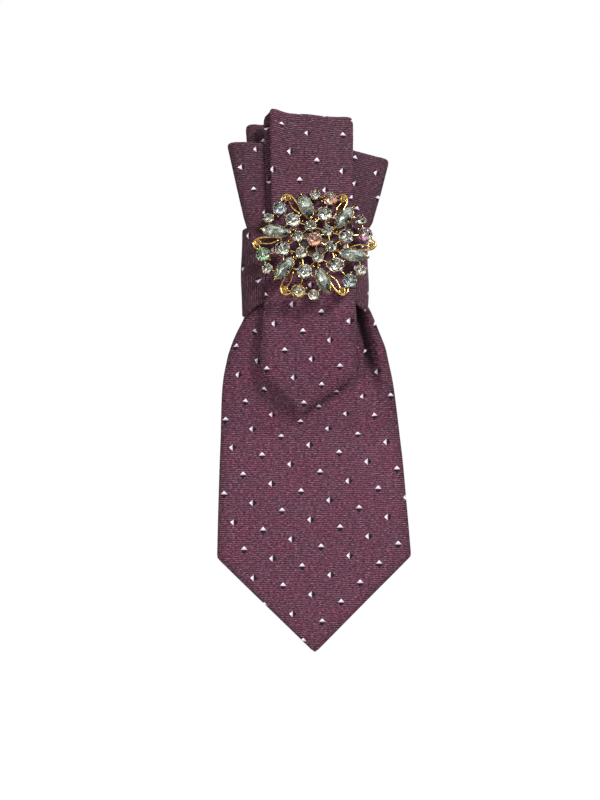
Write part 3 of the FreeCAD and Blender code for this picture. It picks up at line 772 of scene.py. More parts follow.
def make_loops(silk_mat, wool_mat):
    pitch = 2 * CLOTH + 2 * GAP
    first = BAND_BACK + CLOTH + GAP

    rear = loop_path(first, 65.0, 14.5, 0.10)
    left, right = side_by_side(
        rear, lambda z, s: np.interp(z, [-14, 15, 53, 65], [-25, -26, -30.5, -31.4]), lambda z, s: 14.0
    )
    border = closed(left, right)

    def rear_surface(x, s, below):
        depth, z = rear.place(s, below)
        crease = 0.5 * bell(x, -27.5, 2.4) - 0.3 * bell(x, -24.0, 2.2)
        depth = depth + crease * ramp(z, 30, 60)
        return x, depth, z + 0.02 * (x + 31) * ramp(z, 20, 60)

    uv = laid((-27.0, rear.front(50) * -1), (4.4, 2.2), 0, (1.14, 1.06))
    shell, core = both_layers(
        "rear_loop", border, rear, rear_surface, lambda x, s: uv(x, -s), side_folds(left, right),
        silk_mat, wool_mat, ("rear_loop_shell", "rear_loop_interlining"),
    )

    make_right_loop(first + pitch, silk_mat, wool_mat)
    make_left_loop(first + 2 * pitch, silk_mat, wool_mat)


def side_folds(left, right):
    return [(left[0], left[-1]), (right[0], right[-1])]


def make_left_loop(first_depth, silk_mat, wool_mat):
    path = loop_path(first_depth, 54.0, 24.0, 0.09)
    left, right = side_by_side(
        path, lambda z, s: np.interp(z, [-14, 10, 19.6, 52.6], [-24.0, -28.6, -31.5, -39.1]),
        lambda z, s: np.interp(z, [-14, 53], [12, 3]), corner=1.5,
    )
    border = closed(left, right)

    def surface(x, s, below):
        depth, z = path.place(s, below)
        depth = depth - 0.5 * ramp(-x, 30, 39) ** 2 + 0.25 * bell(x, -30, 3.0) * ramp(z, 15, 40)
        return x, depth, z + 0.5 * bell(x, -33, 6.0) * ramp(z, 30, 53)

    start = path.front(32.0)
    uv = laid((-26.9, 32.0), (0, 0), 7.3, (1.18, 1.18))

    def weave(x, s):
        return uv(np.where(x < -33, -33 + (x + 33) * 0.5, x), 32.0 - (s - start))

    shell, core = both_layers(
        "left_loop", border, path, surface, weave, side_folds(left, right),
        silk_mat, wool_mat, ("left_loop_shell", "left_loop_interlining"),
    )


RIGHT_TURN = 15.0


def make_right_loop(first_depth, silk_mat, wool_mat):
    """It fans out to the right, so it is shaped upright and then turned clockwise."""
    path = loop_path(first_depth, 54.8, 21.0, 0.10, leg_end=LEG_END - 15)
    c, sn = cos(radians(RIGHT_TURN)), sin(radians(RIGHT_TURN))

    def upright(points):
        return np.array([(x * c - z * sn, x * sn + z * c) for x, z in points])

    outer = upright([(20.4, -16), (21.0, 6), (24.2, 14.0), (26.6, 18.0), (30.4, 31.0),
                     (34.3, 46.0), (36.0, 52.0)])
    inner = upright([(-2, -22), (-2, -10), (-1, 10), (2, 30), (5, 60)])

    def right_edge(z, s):
        return float(np.interp(z, outer[:, 1], outer[:, 0]))

    def left_edge(z, s):
        return float(np.interp(z, inner[:, 1], inner[:, 0]))

    left, right = side_by_side(path, left_edge, right_edge, corner=1.6)
    left, right = (side[c * path.height(side[:, 1]) - sn * side[:,
                                                                0] > LEG_END] for side in (left, right))
    border = closed(left, right)

    def surface(x, s, below):
        depth, z = path.place(s, below)
        gather = ramp(z, 32, 14)
        depth = depth + 0.3 * gather * np.sin(x * 2 * pi / 5.5) * ramp(x, 12, 18)
        depth = depth - 0.4 * ramp(x, 16, 26) ** 2
        return x * c + z * sn, depth, -x * sn + z * c

    mark = (28.7 * c - 40.8 * sn, 28.7 * sn + 40.8 * c)
    start = path.front(mark[1])
    uv = laid(mark, PATTERN_ACROSS, 11.8 - RIGHT_TURN, (1.142, 1.142))
    shell, core = both_layers(
        "right_loop", border, path, surface, lambda x, s: uv(x, mark[1] - (s - start)),
        side_folds(left, right),
        silk_mat, wool_mat, ("right_loop_shell", "right_loop_interlining"),
    )


WIDE_LEFT = curve(
    [(-27.5, 12), (-28.2, -4), (-28.8, -17), (-30.8, -24.8), (-34.9, -32.6), (-37.5, -38.6),
     (-39.4, -44.8),
     (-41.6, -57.5), (-43.1, -85.2), (-44.0, -112), (-44.5, -133.6)]
)
WIDE_RIGHT = curve(
    [(20.5, 12), (21.0, -4), (21.6, -15), (25.1, -22.6), (29.6, -32.6), (32.2, -38.6), (33.8, -44.8),
     (36.6, -57.5), (40.8, -85.2), (43.3, -112), (45.0, -132.6)]
)


def valley(z):
    """Centre line, strength and width of the pleat beside the tail."""
    middle = np.interp(z, [-75, -62, -45, -37, -28, -20], [28, 27, 25.6, 24.0, 21.0, 19.8])
    return middle, ramp(z, -76, -38), 2.5 + 4.0 * ramp(z, -34, -72)


def wide_drape(x, z):
    """How far the wide blade's cloth stands forward of its path: a pleat beside the tail, the
    rolled sides under the band, and slack towards the tip."""
    valley_x, near, spread = valley(z)
    pleat = -5.4 * near * bell(x, valley_x, spread)
    ridge = 1.6 * ramp(z, -66, -36) * bell(x, valley_x + 5.8, 2.9)
    side_x = np.interp(z, [-60, -40, -20], [36, 31, 24])
    rolled = -2.6 * ramp(x, side_x - 7, side_x + 1) ** 2 * ramp(z, -62, -38)
    left_x = np.interp(z, [-60, -40, -20], [-41, -37, -30])
    rolled = rolled - 2.4 * ramp(-x, -left_x - 9, -left_x + 1) ** 2 * ramp(z, -64, -36)
    slack = 0.45 * np.sin(x * 0.085 + 0.6) * np.sin(z * 0.05) * ramp(z, -175, -140)
    slack = slack + 0.3 * np.sin((x + 0.6 * z) * 0.13) * ramp(z, -150, -110)
    tail_press = -0.8 * bell(x, -2, 16) * bell(z, -58, 16)
    return pleat + ridge + rolled + slack * ramp(z, -30, -60) + tail_press


def make_wide_blade(mats):
    back = BAND_BACK + CLOTH + GAP + 3 * (2 * CLOTH + 2 * GAP)
    path = Bent([(back, 12), (back + 3, -22), (BLADE_REST, -78), (BLADE_REST, -185)], (12.0, 30.0))

    def edge(line):
        s = path.front(line[:, 1])
        return np.stack([line[:, 0], s], axis=1)

    left, right = edge(WIDE_LEFT), edge(WIDE_RIGHT)
    tip = edge(np.array([(-44.3, -135.0), (-43.2, -136.4), (-1.2, -177.2), (0.7, -178.5), (2.5, -177.2),
                         (43.8, -135.4), (44.9, -134.0)]))
    border = closed(left, right, tip)
    kite = edge(np.array([(0.3, -100), (-38, -136), (0.7, -172.5), (38.5, -135)]))
    kite = resample(kite, 1.5)
    kite = kite if area_of(kite) > 0 else kite[::-1]
    seam_x, seam_end = 0.3, float(path.front(-100))
    seam = seam_outline(seam_x, 1.5, seam_end)

    def surface(x, s, below):
        depth, z = path.place(s, below)
        return x, depth + wide_drape(x, z), z

    start = path.front(-87.9)
    uv = laid((-23.7, -87.9), (0, 0), 0, (1.0, 1.0))

    def weave(x, s):
        """The cloth is gathered towards the band, and its middle hangs lower."""
        up = -87.9 - (s - start)
        side = np.where(x > 0, 1.25, 1.0)
        pulled = np.interp(up, [-80, -69, -56, -43, -31, -20], [0, 0.04, 0.08, 0.145, 0.26, 0.36])
        over = np.where(x > 24, 0.6, 1.0)
        sag = np.interp(up, [-80, -57, -40, -20], [0, 6.0, 7.5, 8.0]) * (1 - ramp(np.abs(x - 1),
                                                                                  14, 35)) * over
        return uv(x * (1 + pulled * side), up + sag)

    # Painted shade deep in the pleat beside the tail.
    def crease(x, s):
        z = path.place(s, 0 * s)[1]
        middle, near, spread = valley(z)
        return near * ramp(z, -60, -40) * bell(x, middle - 0.3, spread * 0.95)

    folds = [(left[40], left[-1]), (right[40], right[-1]), (tip[1], tip[2]), (tip[4], tip[5])]
    shell, core = both_layers(
        "wide_blade", border, path, surface, weave, folds,
        mats["silk"], mats["wool"], ("wide_blade_shell", "wide_blade_interlining"),
        relief=seam_relief(seam_x, seam_end, kite), lines=[seam, kite, inset(kite, 0.2)],
        fine=(13.5, 31.0), crease=crease,
    )
    make_tipping("wide_blade", kite, path, surface, mats["satin"], "wide_blade_tipping")
    tack_s = float(path.front(-97.5))
    make_tack("wide_blade", (-3.2, 3.8), tack_s, surface, mats["thread"], "wide_blade_bar_tack")
    slip_stitches("wide_blade", seam_x, 20.0, tack_s - 4, 5.0, surface, mats["thread"])


def make_tipping(name, kite, path, surface, mat, node):
    """Lining at the tip: a thin sheet let in behind the folded edges."""
    border = resample(inset(kite, 0.22), 1.5)
    low, high = border[:, 1].min(), border[:, 1].max()
    rows = [s for s in path.rows if low < s < high]
    folds = [(border[0], border[len(border) // 2])]

    def uv(x, s):
        return x, -s

    piece = folded_cloth(name + "_lining", border, rows, 2.0, surface, uv, folds, [mat], hem=0.12,
                         thick=0.25, sunk=CLOTH - 0.36, plump=0.0)
    place_piece(piece, "tipping_satin", node)


# ---- threads -----------------------------------------------------------------------------------
def tube(points, radii, sides=8):
    """Vertices and faces of a round tube with closed, rounded ends."""
    pts = [Vector(p) for p in points]
    radii = list(radii)
    verts, faces = [], []
    ahead = (pts[1] - pts[0]).normalized()
    side = ahead.orthogonal().normalized()
    for i, p in enumerate(pts):
        before, after = pts[max(0, i - 1)], pts[min(len(pts) - 1, i + 1)]
        ahead = (after - before).normalized()
        side = (side - ahead * side.dot(ahead)).normalized()
        up = ahead.cross(side)
        for k in range(sides):
            a = 2 * pi * k / sides
            verts.append(p + (side * cos(a) + up * sin(a)) * radii[i])
    for i in range(len(pts) - 1):
        for k in range(sides):
            j = (k + 1) % sides
            faces.append((i * sides + k, i * sides + j, (i + 1) * sides + j, (i + 1) * sides + k))
    first, last = len(verts), len(verts) + 1
    verts.append(pts[0] - (pts[1] - pts[0]).normalized() * radii[0] * 0.5)
    verts.append(pts[-1] + (pts[-1] - pts[-2]).normalized() * radii[-1] * 0.5)
    top = (len(pts) - 1) * sides
    for k in range(sides):
        j = (k + 1) % sides
        faces.append((j, k, first))
        faces.append((top + k, top + j, last))
    return verts, faces


def joined(parts):
    """One vertex and face list from several, with each part's number for every face."""
    verts, faces, owner = [], [], []
    for number, (part_verts, part_faces) in enumerate(parts):
        start = len(verts)
        verts += [tuple(v) for v in part_verts]
        faces += [tuple(start + i for i in f) for f in part_faces]
        owner += [number] * len(part_faces)
    return verts, faces, owner


def twisted(points, radius, turns_per_mm=0.55):
    """Two plies of thread wound round each other along a smooth line."""
    line = curve(points, 8)
    lengths = np.concatenate([[0], np.cumsum(np.linalg.norm(np.diff(line, axis=0), axis=1))])
    plies = []
    side = Vector((0.3, 0.2, 0.9))
    for phase in (0, pi):
        ply = []
        for i, p in enumerate(line):
            ahead = Vector(line[min(len(line) - 1, i + 1)] - line[max(0, i - 1)]).normalized()
            side = (side - ahead * side.dot(ahead)).normalized()
            up = ahead.cross(side)
            a = phase + 2 * pi * turns_per_mm * lengths[i]
            ply.append(Vector(p) + (side * cos(a) + up * sin(a)) * radius * 0.42)
        plies.append(tube(ply, [radius * 0.62] * len(ply), 6))
    return plies


def make_tack(name, span, s, surface, mat, node):
    """Bar tack across the back seam: long threads with close stitches wound over them."""
    parts = []
    left, right = span
    for row in range(3):
        at = s + (row - 1) * 0.3
        xs = np.linspace(left, right, 9)
        x, depth, z = surface(xs, np.full(9, at), np.full(9, CLOTH + 0.12))
        parts += twisted(np.stack([x, -depth, z], axis=1), 0.15)
    for i in range(15):
        x = left + 0.3 + (right - left - 0.6) * i / 14
        ss = s + np.array([-0.62, -0.45, 0.0, 0.45, 0.62])
        lift = CLOTH + np.array([-0.1, 0.18, 0.34, 0.18, -0.1])
        xx, depth, z = surface(np.full(5, x) + np.array([-0.1, -0.05, 0, 0.05, 0.1]), ss, lift)
        parts += twisted(np.stack([xx, -depth, z], axis=1), 0.14)
    verts, faces, _ = joined(parts)
    place_piece(mesh_piece(name + "_tack", verts, faces, [mat]), "sewing_thread", node)


def slip_stitches(name, x, s_from, s_to, step, surface, mat):
    """Small slanted stitches that close the back seam."""
    parts = []
    for s in np.arange(s_from, s_to, step):
        xs = x + np.array([-0.9, -0.5, 0.0, 0.6, 1.0])
        ss = s + np.array([0.0, 0.15, 0.4, 0.7, 0.8])
        lift = CLOTH + np.array([0.0, 0.3, 0.36, 0.14, -0.1])
        xx, depth, z = surface(xs, ss, lift)
        parts += twisted(np.stack([xx, -depth, z], axis=1), 0.12)
    verts, faces, _ = joined(parts)
    place_piece(mesh_piece(name + "_seam_stitches", verts, faces, [mat]), "sewing_thread")


# ---- the narrow blade --------------------------------------------------------------------------
NARROW_TOP, NARROW_AIR = 66.5, 2.0
TOP_LINE = curve([(-24, 67.6), (-18.7, 68.4), (-15.8, 67.7), (-12.9, 66.8), (-9.7, 66.2), (-2.6, 65.9),
                  (4.0, 65.1), (10, 64.7), (15.1, 64.6), (20, 64.0)])


def knot_front(z):
    return KNOT_FRONT - KNOT_LEAN * z


def tail_drape(x, z, front):
    """The tail's sides roll back a little, and its left edge lifts off the blade."""
    rolled = -0.9 * ramp(np.abs(x + 2.0), 17.5, 22.5) ** 2
    lifted = 0.9 * ramp(-x, 8, 24) * bell(z, -40, 15)
    tip = -0.8 * ramp(z, -52, -69)
    top = 0.5 * bell(z, 50, 12) * bell(x, -2, 14)
    return (rolled + lifted + tip + top) * front


def make_narrow_blade(mats):
    rear_leg = [(knot_front(z) + GAP - NARROW_AIR, z) for z in (LEG_END, NARROW_TOP - CLOTH)]
    front_leg = [(knot_front(z) + GAP, z) for z in (NARROW_TOP - CLOTH, -22.0)]
    fold_r = 0.97 * NARROW_AIR / 2
    path = Bent(rear_leg + front_leg + [(9.5, -70.0)], (fold_r, fold_r, 24.0))
    top = path.top
    corner_s = float(path.front(-48.4))

    def left_edge(z, s):
        if s < top - 6:
            return float(np.interp(z, [-14, 20, 34, 60], [-20.5, -20.8, -21.4, -22.6]))
        if s < top + 4:
            return float(np.interp(s - top, [-6, -4.2, -1.5, 0, 2.0, 4],
                                   [-22.6, -22.2, -19.9, -18.9, -19.6, -19.9]))
        return float(np.interp(z, [-49, -40, -20.5, -12, 20, 56.7, 66],
                               [-24.1, -23.9, -22.1, -21.3, -18.9, -19.8, -20.0]))

    def right_edge(z, s):
        if s < top:
            return float(np.interp(top - s, [0, 2.5, 20], [15.8, 17.2, 17.3]))
        if s < top + 4:
            return float(np.interp(s - top, [0, 2.0, 4], [15.8, 17.0, 17.3]))
        return float(np.interp(z, [-49, -38, -20, 20, 56], [20.2, 19.7, 18.1, 16.8, 17.5]))

    left, right = side_by_side(path, left_edge, right_edge, corner_s, corner=0.0)
    drop = [(-24.0, -49.2), (-23.4, -50.3), (-6.9, -67.7), (-5.7, -68.5), (-4.4, -67.9),
            (19.4, -51.4), (20.2, -50.0)]
    tip = np.array([(x, float(path.front(z))) for x, z in drop])
    border = closed(left, right, tip)
    kite = [(x, float(path.front(z))) for x, z in ((-1.9, -36), (-19.0, -50.5), (-5.7, -63),
                                                   (15.0, -51.5))]
    kite = resample(np.array(kite), 1.5)
    kite = kite if area_of(kite) > 0 else kite[::-1]
    seam_x, seam_end = -1.9, float(path.front(-36))

    def surface(x, s, below):
        depth, z = path.place(s, below)
        rise = (np.interp(x, TOP_LINE[:, 0], TOP_LINE[:, 1]) - NARROW_TOP) * ramp(z, 14, 60)
        front = ramp(s, top + 2, top + 14)
        return x, depth + tail_drape(x, z, front), z + rise

    upper_s, lower_s = float(path.front(34.95)), float(path.front(-32.2))
    uv_upper = laid((-6.38, 0.0), (0, 0), 0, (1.16, 0.965))
    uv_lower = laid((-4.93, 0.0), (0.96, -69.0), 0, (1.095, 1.05))

    def weave(x, s):
        near_fold = bell(np.hypot(x - 12.5, s - path.front(56.5)), 0, 8.0)
        closer = 0.5 * np.maximum(0, path.front(56.5) - s) * ramp(x, 4, -4)
        u0, v0 = uv_upper(x - 4.4 * near_fold, -(s - upper_s) - 3.9 * near_fold + closer)
        u1, v1 = uv_lower(np.where(x > 12, x - 0.15 * (x - 12), x), -(s - lower_s))
        t = ramp(s, path.front(24), path.front(-10))
        return u0 + (u1 - u0) * t, v0 + (v1 - v0) * t

    seam = seam_outline(seam_x, top + 16, seam_end)
    folds = [(left[0], left[-1]), (right[0], right[-1]), (tip[1], tip[2]), (tip[4], tip[5])]
    relief = seam_relief(seam_x, seam_end, kite)

    def front_relief(flat):
        return relief(flat) * ramp(flat[:, 1], top + 10, top + 18)

    shell, core = both_layers(
        "narrow_blade", border, path, surface, weave, folds, mats["silk"], mats["wool"],
        ("narrow_blade_shell", "narrow_blade_interlining"), relief=front_relief,
        lines=[seam, kite, inset(kite, 0.2)],
        # Painted shade: the cloth grows darker and greyer towards the top of the fold.
        crease=lambda x, s: 0.52 * ramp(path.place(s, 0 * s)[1], 8, 40),
    )
    make_tipping("narrow_blade", kite, path, surface, mats["satin"], "narrow_blade_tipping")
    make_tack("narrow_blade", (-4.4, 0.6), float(path.front(-34.1)), surface, mats["thread"],
              "narrow_blade_bar_tack")


# ---- the band ----------------------------------------------------------------------------------
def band_ring(z):
    """Points and outward normals (x, depth) of the band's outer face at height z, from the middle
    of its back round by the right."""
    back, front = BAND_BACK, knot_front(z)
    left, right, r = BAND_X - BAND_HALF_WIDTH + 0.5, BAND_X + BAND_HALF_WIDTH, BAND_CORNER
    corners = [((right - r, back + r), -90), ((right - r, front - r), 0), ((left + r, front - r), 90),
               ((left + r, back + r), 180)]
    pts, normals = [], []

    def run(a, b, normal, parts):
        for i in range(1, parts):
            pts.append(tuple(np.array(a) + (np.array(b) - np.array(a)) * i / parts))
            normals.append(normal)

    steps = 9
    here = (BAND_X, back)
    pts.append(here)
    normals.append((0.0, -1.0))
    parts = (15, 5, 30, 5)
    for ((cx, cd), first), count in zip(corners, parts):
        a = radians(first)
        start = (cx + r * cos(a), cd + r * sin(a))
        run(here, start, (cos(a), sin(a)), count)
        for i in range(steps + 1):
            a = radians(first + 90 * i / steps)
            pts.append((cx + r * cos(a), cd + r * sin(a)))
            normals.append((cos(a), sin(a)))
        here = pts[-1]
    run(here, (BAND_X, back), (0.0, -1.0), 15)
    return np.array(pts), np.array(normals)


def hoop_section(height, thick, step=1.4):
    """Closed cross-section (up, below) of a flat hoop with rounded edges."""
    r = thick / 2
    parts = max(2, int((height - 2 * r) / step))
    up = np.linspace(r, height - r, parts + 1)
    pts = [(u, 0.0) for u in up]
    pts += [(height - r + r * sin(a), r - r * cos(a)) for a in np.linspace(0, pi, 8)[1:-1]]
    pts += [(u, thick) for u in up[::-1]]
    pts += [(r - r * sin(a), r + r * cos(a)) for a in np.linspace(0, pi, 8)[1:-1]]
    return np.array(pts)


def band_edges(x, depth):
    """Lowest and highest point of the band at a place round it: it dips at its sides."""
    front = ramp(depth, 8, 18)
    low = np.interp(x, [-33, -30.5, -26, -21, 0, 17, 20, 24.4],
                    [-25.2, -25.4, -21.4, -19.0, -18.4, -18.8, -21.4, -23.8])
    high = np.interp(x, [-33, -28, -20, 24], [14.6, 14.2, 13.6, 13.8])
    return -21 + (low + 21) * front, 14 + (high - 14) * front


def make_band(mats):
    parts = []
    for name, inset_by, thick, shorter, step in (("silk", 0.0, CLOTH, 0.0, 1.4),
                                                 ("wool", 0.35, 0.7, 0.8, 2.8)):
        section = hoop_section(35.0 - 2 * shorter, thick, step)
        rings = []
        for up, below in section:
            share = (up + shorter) / 35.0
            ring, normals = band_ring(-21 + share * 35)
            low, high = band_edges(ring[:, 0], ring[:, 1])
            z = low + share * (high - low)
            wave = 0.35 * np.sin(share * 2 * pi * 1.1 + ring[:, 0] * 0.25) * (1 - (2 * share - 1) ** 2)
            crown = 0.45 * (1 - (2 * share - 1) ** 4)
            front = ramp(ring[:, 1], 10, 16)
            out = -(below + inset_by) + (wave + crown - 0.45) * front * (np.abs(ring[:, 0] + 2) > 19.5)
            moved = ring + normals * out[:, None]
            rings.append(np.stack([moved[:, 0], -moved[:, 1], z], axis=1))
        count, around = len(rings), len(rings[0])
        verts = np.vstack(rings)
        faces = []
        for i in range(count):
            j = (i + 1) % count
            for k in range(around):
                m = (k + 1) % around
                faces.append((i * around + k, i * around + m, j * around + m, j * around + k))
        mat = mats["band_silk_shaded" if name == "silk" else name]
        piece = mesh_piece("waist_band_" + name, verts, faces, [mat])
        if name == "silk":
            band_weave(piece, section, around)
            # Painted shade: the band is greyed a little all over and darkened along its upper and lower
            # edges.
            ends = np.minimum(section[:, 0], 35.0 - section[:, 0])
            mark_painted_shade(piece, np.repeat(0.2 + 0.4 * bell(ends, 0.0, 2.4), around))
        parts.append(piece)
    place_piece(parts[0], "tie_silk", "waist_band_shell")
    place_piece(parts[1], "interlining_wool", "waist_band_interlining")
    ring = band_ring(0)[0]


def band_weave(piece, section, around):
    """The band's cloth lies sideways: its length runs round the waist."""
    ring = band_ring(0)[0]
    steps = np.linalg.norm(np.roll(ring, -1, axis=0) - ring, axis=1)
    along = np.concatenate([[0], np.cumsum(steps)])
    rise = np.linalg.norm(np.roll(section, -1, axis=0) - section, axis=1)
    climb = np.concatenate([[0], np.cumsum(rise)])
    mesh = piece.data
    corner = np.empty(len(mesh.loops), np.int32)
    mesh.loops.foreach_get("vertex_index", corner)
    i, k = corner // around, corner % around
    quads_i, quads_k = i.reshape(-1, 4), k.reshape(-1, 4)
    wrap_i = (quads_i.max(axis=1) - quads_i.min(axis=1) > 1)[:, None] & (quads_i == 0)
    wrap_k = (quads_k.max(axis=1) - quads_k.min(axis=1) > 1)[:, None] & (quads_k == 0)
    i = np.where(wrap_i, len(section), quads_i).ravel()
    k = np.where(wrap_k, around, quads_k).ravel()
    u, v = climb[i] * 1.1, along[k] * 1.1 + 3.0
    add_map(mesh, "Weave", u, v)
    add_map(mesh, "Ribs", u, v)


# ---- back: felt, and threads for the bar pin and the band seam ---------------------------------
def make_felt(mat):
    """Felt pad with a soft, slightly uneven edge, and dimples where the threads pull it in."""
    length, width, front, back = 38.0, 12.0, BAND_BACK, 3.8
    r = width / 2
    outline = []
    for end, first in ((1, -90), (-1, 90)):
        for i in range(17):
            a = radians(first + 180 * i / 16)
            outline.append((end * (length / 2 - r) + r * cos(a), r * sin(a)))
    border = resample(np.array(outline), 1.0)
    border = border + RNG.normal(0, 0.05, border.shape)
    rows = np.arange(-6, 6.01, 0.75)
    columns = np.arange(-19, 19.01, 0.75)
    flat, tris = flat_mesh(border, rows, columns, 0.5)
    distance = edge_distance(flat, border)[0]
    swell = rounded_hem(distance, 0.5)
    thick = front - back
    pull = sum(bell(np.hypot(flat[:, 0] - x, np.abs(flat[:, 1]) - 2.85), 0, 0.8) for x in (-7, 0, 7))
    rough = RNG.normal(0, 0.035, len(flat))
    under = back + thick / 2 * (1 - swell) + np.minimum(0.35 * pull, 0.45) * swell + np.abs(rough)
    covered = (np.abs(flat[:, 1]) < 2.7) & (flat[:, 0] > -16.7) & (flat[:, 0] < 15.7)
    under = np.where(covered, back + 0.02, under)
    over = front - thick / 2 * (1 - swell) - 0.02
    verts = np.vstack([np.stack([flat[:, 0], -under, flat[:, 1]], axis=1),
                       np.stack([flat[:, 0], -over, flat[:, 1]], axis=1)])
    count = len(flat)
    on_edge = distance < 1e-4
    other = np.arange(count, 2 * count)
    other[on_edge] = np.arange(count)[on_edge]
    faces = np.vstack([tris, other[tris][:, ::-1]])
    used, again = np.unique(faces, return_inverse=True)
    piece = mesh_piece("felt_pad", verts[used], again.reshape(-1, 3), [mat])
    place_piece(piece, "felt", "felt_backing")


def make_pin_threads(mat):
    """Three thread bars over the base: each a bundle through its hole and round both edges."""
    parts = []
    for hole in (-7.0, 0.0, 7.0):
        for strand in range(5):
            x = hole + (strand - 2) * 0.26
            for end in (-1, 1):
                wobble = float(RNG.normal(0, 0.05))
                z_out = end * (2.85 + 0.1 * (strand % 2))
                line = [
                    (x * 0.5 + hole * 0.5, -4.4, end * 0.25), (x * 0.7 + hole * 0.3, -3.2, end * 0.3),
                    (x, -2.72 + wobble, end * 0.8), (x, -2.68 + wobble, end * 1.7),
                    (x, -2.8, z_out - end * 0.25),
                    (x, -3.4, z_out), (x, -4.5, z_out),
                ]
                parts += twisted(line, 0.16)
    verts, faces, _ = joined(parts)
    place_piece(mesh_piece("bar_pin_threads", verts, faces, [mat]), "sewing_thread", "bar_pin_stitches")


def make_band_threads(mat):
    """Ladder of stitches down the band's closing seam, above and below the felt."""
    parts = []
    for z in (-18.5, -16, -13.5, -11, -8.5, 8.5, 11):
        for shift in (0.0, 0.28):
            line = [
                (-13.6, -BAND_BACK - 0.25, z + shift), (-13.2, -BAND_BACK + 0.12, z + shift + 0.05),
                (-12.0, -BAND_BACK + 0.2, z + shift + 0.2), (-10.8, -BAND_BACK + 0.12,
                                                             z + shift + 0.45),
                (-10.4, -BAND_BACK - 0.25, z + shift + 0.5),
            ]
            parts += twisted(line, 0.15)
    verts, faces, _ = joined(parts)
    place_piece(mesh_piece("band_seam_threads", verts, faces, [mat]), "sewing_thread",
                "band_seam_stitches")


# ---- the ornament ------------------------------------------------------------------------------
ORNAMENT_DEPTH, ORNAMENT_Z, ORNAMENT_TILT = 27.4, 5.2, 13.0
ROUND_STONES = {
    "inner_round_stone": (7.5, 42.0, 2.6, 2.9),
    "large_round_stone": (14.0, 12.0, 3.3, 2.0),
    "aurora_stone": (22.6, 12.0, 3.0, 0.0),
    "outer_round_stone": (23.2, 29.0, 2.4, 0.2),
}
CENTRE = (3.1, 5.0)
MARQUISE = (17.4, 42.0, 1.4)
MARQUISE_HALF = (6.5, 3.05)
BEAD = (24.5, 58.4, 1.7, 0.3)
STAND_UP = Matrix.Translation((0, -ORNAMENT_DEPTH,
                               ORNAMENT_Z)) @ Matrix.Rotation(radians(90 - ORNAMENT_TILT), 4, "X")


def polar(radius, angle, height=0.0):
    return Vector((radius * cos(radians(angle)), radius * sin(radians(angle)), height))


def set_stone(angle, place):
    """Matrix that takes a stone from its own frame to its seat on the worn brooch."""
    return STAND_UP @ Matrix.Translation(place) @ Matrix.Rotation(radians(angle), 4, "Z")


def brilliant(radius, matrix):
    """Round brilliant: octagonal table, kites, girdle and an eight-sided foiled back."""
    n = 8

    def at(scale, height, shift, count=n):
        return [polar(radius * scale, 360 * (i + shift) / count, radius * height) for i in range(count)]

    table = at(0.55, 0.42, 0)
    star = at(0.76, 0.31, 0.5)
    girdle = at(1.0, 0.1, 0, 16)
    ledge = at(1.0, 0.0, 0, 16)
    seat = at(0.8, 0.0, 0, 16)
    mains = at(0.42, -0.26, 0.5)
    rows = [table, star, girdle, ledge, seat, mains]
    verts = [v for row in rows for v in row] + [Vector((0, 0, -0.5 * radius))]
    t, s, g, e, w, m, c = 0, 8, 16, 32, 48, 64, 72
    faces = [tuple(range(8))]
    for i in range(n):
        j, h = (i + 1) % n, (i - 1) % n
        faces.append((t + i, s + i, t + j))
        faces.append((t + i, s + h, g + 2 * i, s + i))
        faces.append((s + i, g + 2 * i, g + 2 * i + 1))
        faces.append((s + i, g + 2 * i + 1, g + (2 * i + 2) % 16))
    for i in range(16):
        j = (i + 1) % 16
        faces.append((g + i, e + i, e + j, g + j))
    crown = len(faces)
    for i in range(16):
        j = (i + 1) % 16
        faces.append((e + i, w + i, w + j, e + j))
    for i in range(n):
        j = (i + 1) % n
        faces.append((w + 2 * i, m + i, w + 2 * i + 1))
        faces.append((w + 2 * i + 1, m + i, w + (2 * i + 2) % 16))
        faces.append((w + (2 * i + 2) % 16, m + i, m + j))
        faces.append((m + i, c, m + j))
    kinds = [0] * crown + [1] * (len(faces) - crown)
    return [matrix @ v for v in verts], faces, kinds


def almond_ring(count=12):
    """Points round a pointed oval whose half length and half width are MARQUISE_HALF."""
    length, width = MARQUISE_HALF
    r = (length**2 + width**2) / (2 * width)
    reach = float(np.arcsin(length / r))
    pts = []
    for side in (1, -1):
        for i in range(count // 2):
            a = side * reach * (1 - 4 * i / count)
            pts.append((r * sin(a), side * (r * cos(a) - (r - width))))
    return pts


def marquise(matrix):
    """Pointed stone with a broad table, long crown facets and a shallow foiled back."""
    ring = almond_ring()
    width = MARQUISE_HALF[1]
    count = 12

    def level(scale, height):
        return [Vector((x * scale, y * scale, height * width)) for x, y in ring]

    rows = [level(0.5, 0.52), level(1.04, 0.12), level(1.04, 0.0), level(0.8, -0.02), level(0.4, -0.16)]
    verts = [v for row in rows for v in row]
    middle = len(verts)
    verts.append(Vector((0, 0, -0.22 * width)))
    faces, kinds = [tuple(range(count))], [0]
    for a in range(4):
        for k in range(count):
            j = (k + 1) % count
            p, q = a * count, (a + 1) * count
            faces.append((p + k, q + k, q + j, p + j))
            kinds.append(0 if a < 2 else 1)
    last = 4 * count
    for k in range(count):
        faces.append((last + k, middle, last + (k + 1) % count))
        kinds.append(1)
    return [matrix @ v for v in verts], faces, kinds


def stone_piece(name, parts, mats, slot, nodes):
    verts, faces, kinds = [], [], []
    for part_verts, part_faces, part_kinds in parts:
        start = len(verts)
        verts += [tuple(v) for v in part_verts]
        faces += [tuple(start + i for i in f) for f in part_faces]
        kinds += part_kinds
    piece = mesh_piece(name, verts, faces, mats, kinds, shade=False)
    return place_piece(piece, slot, *nodes)


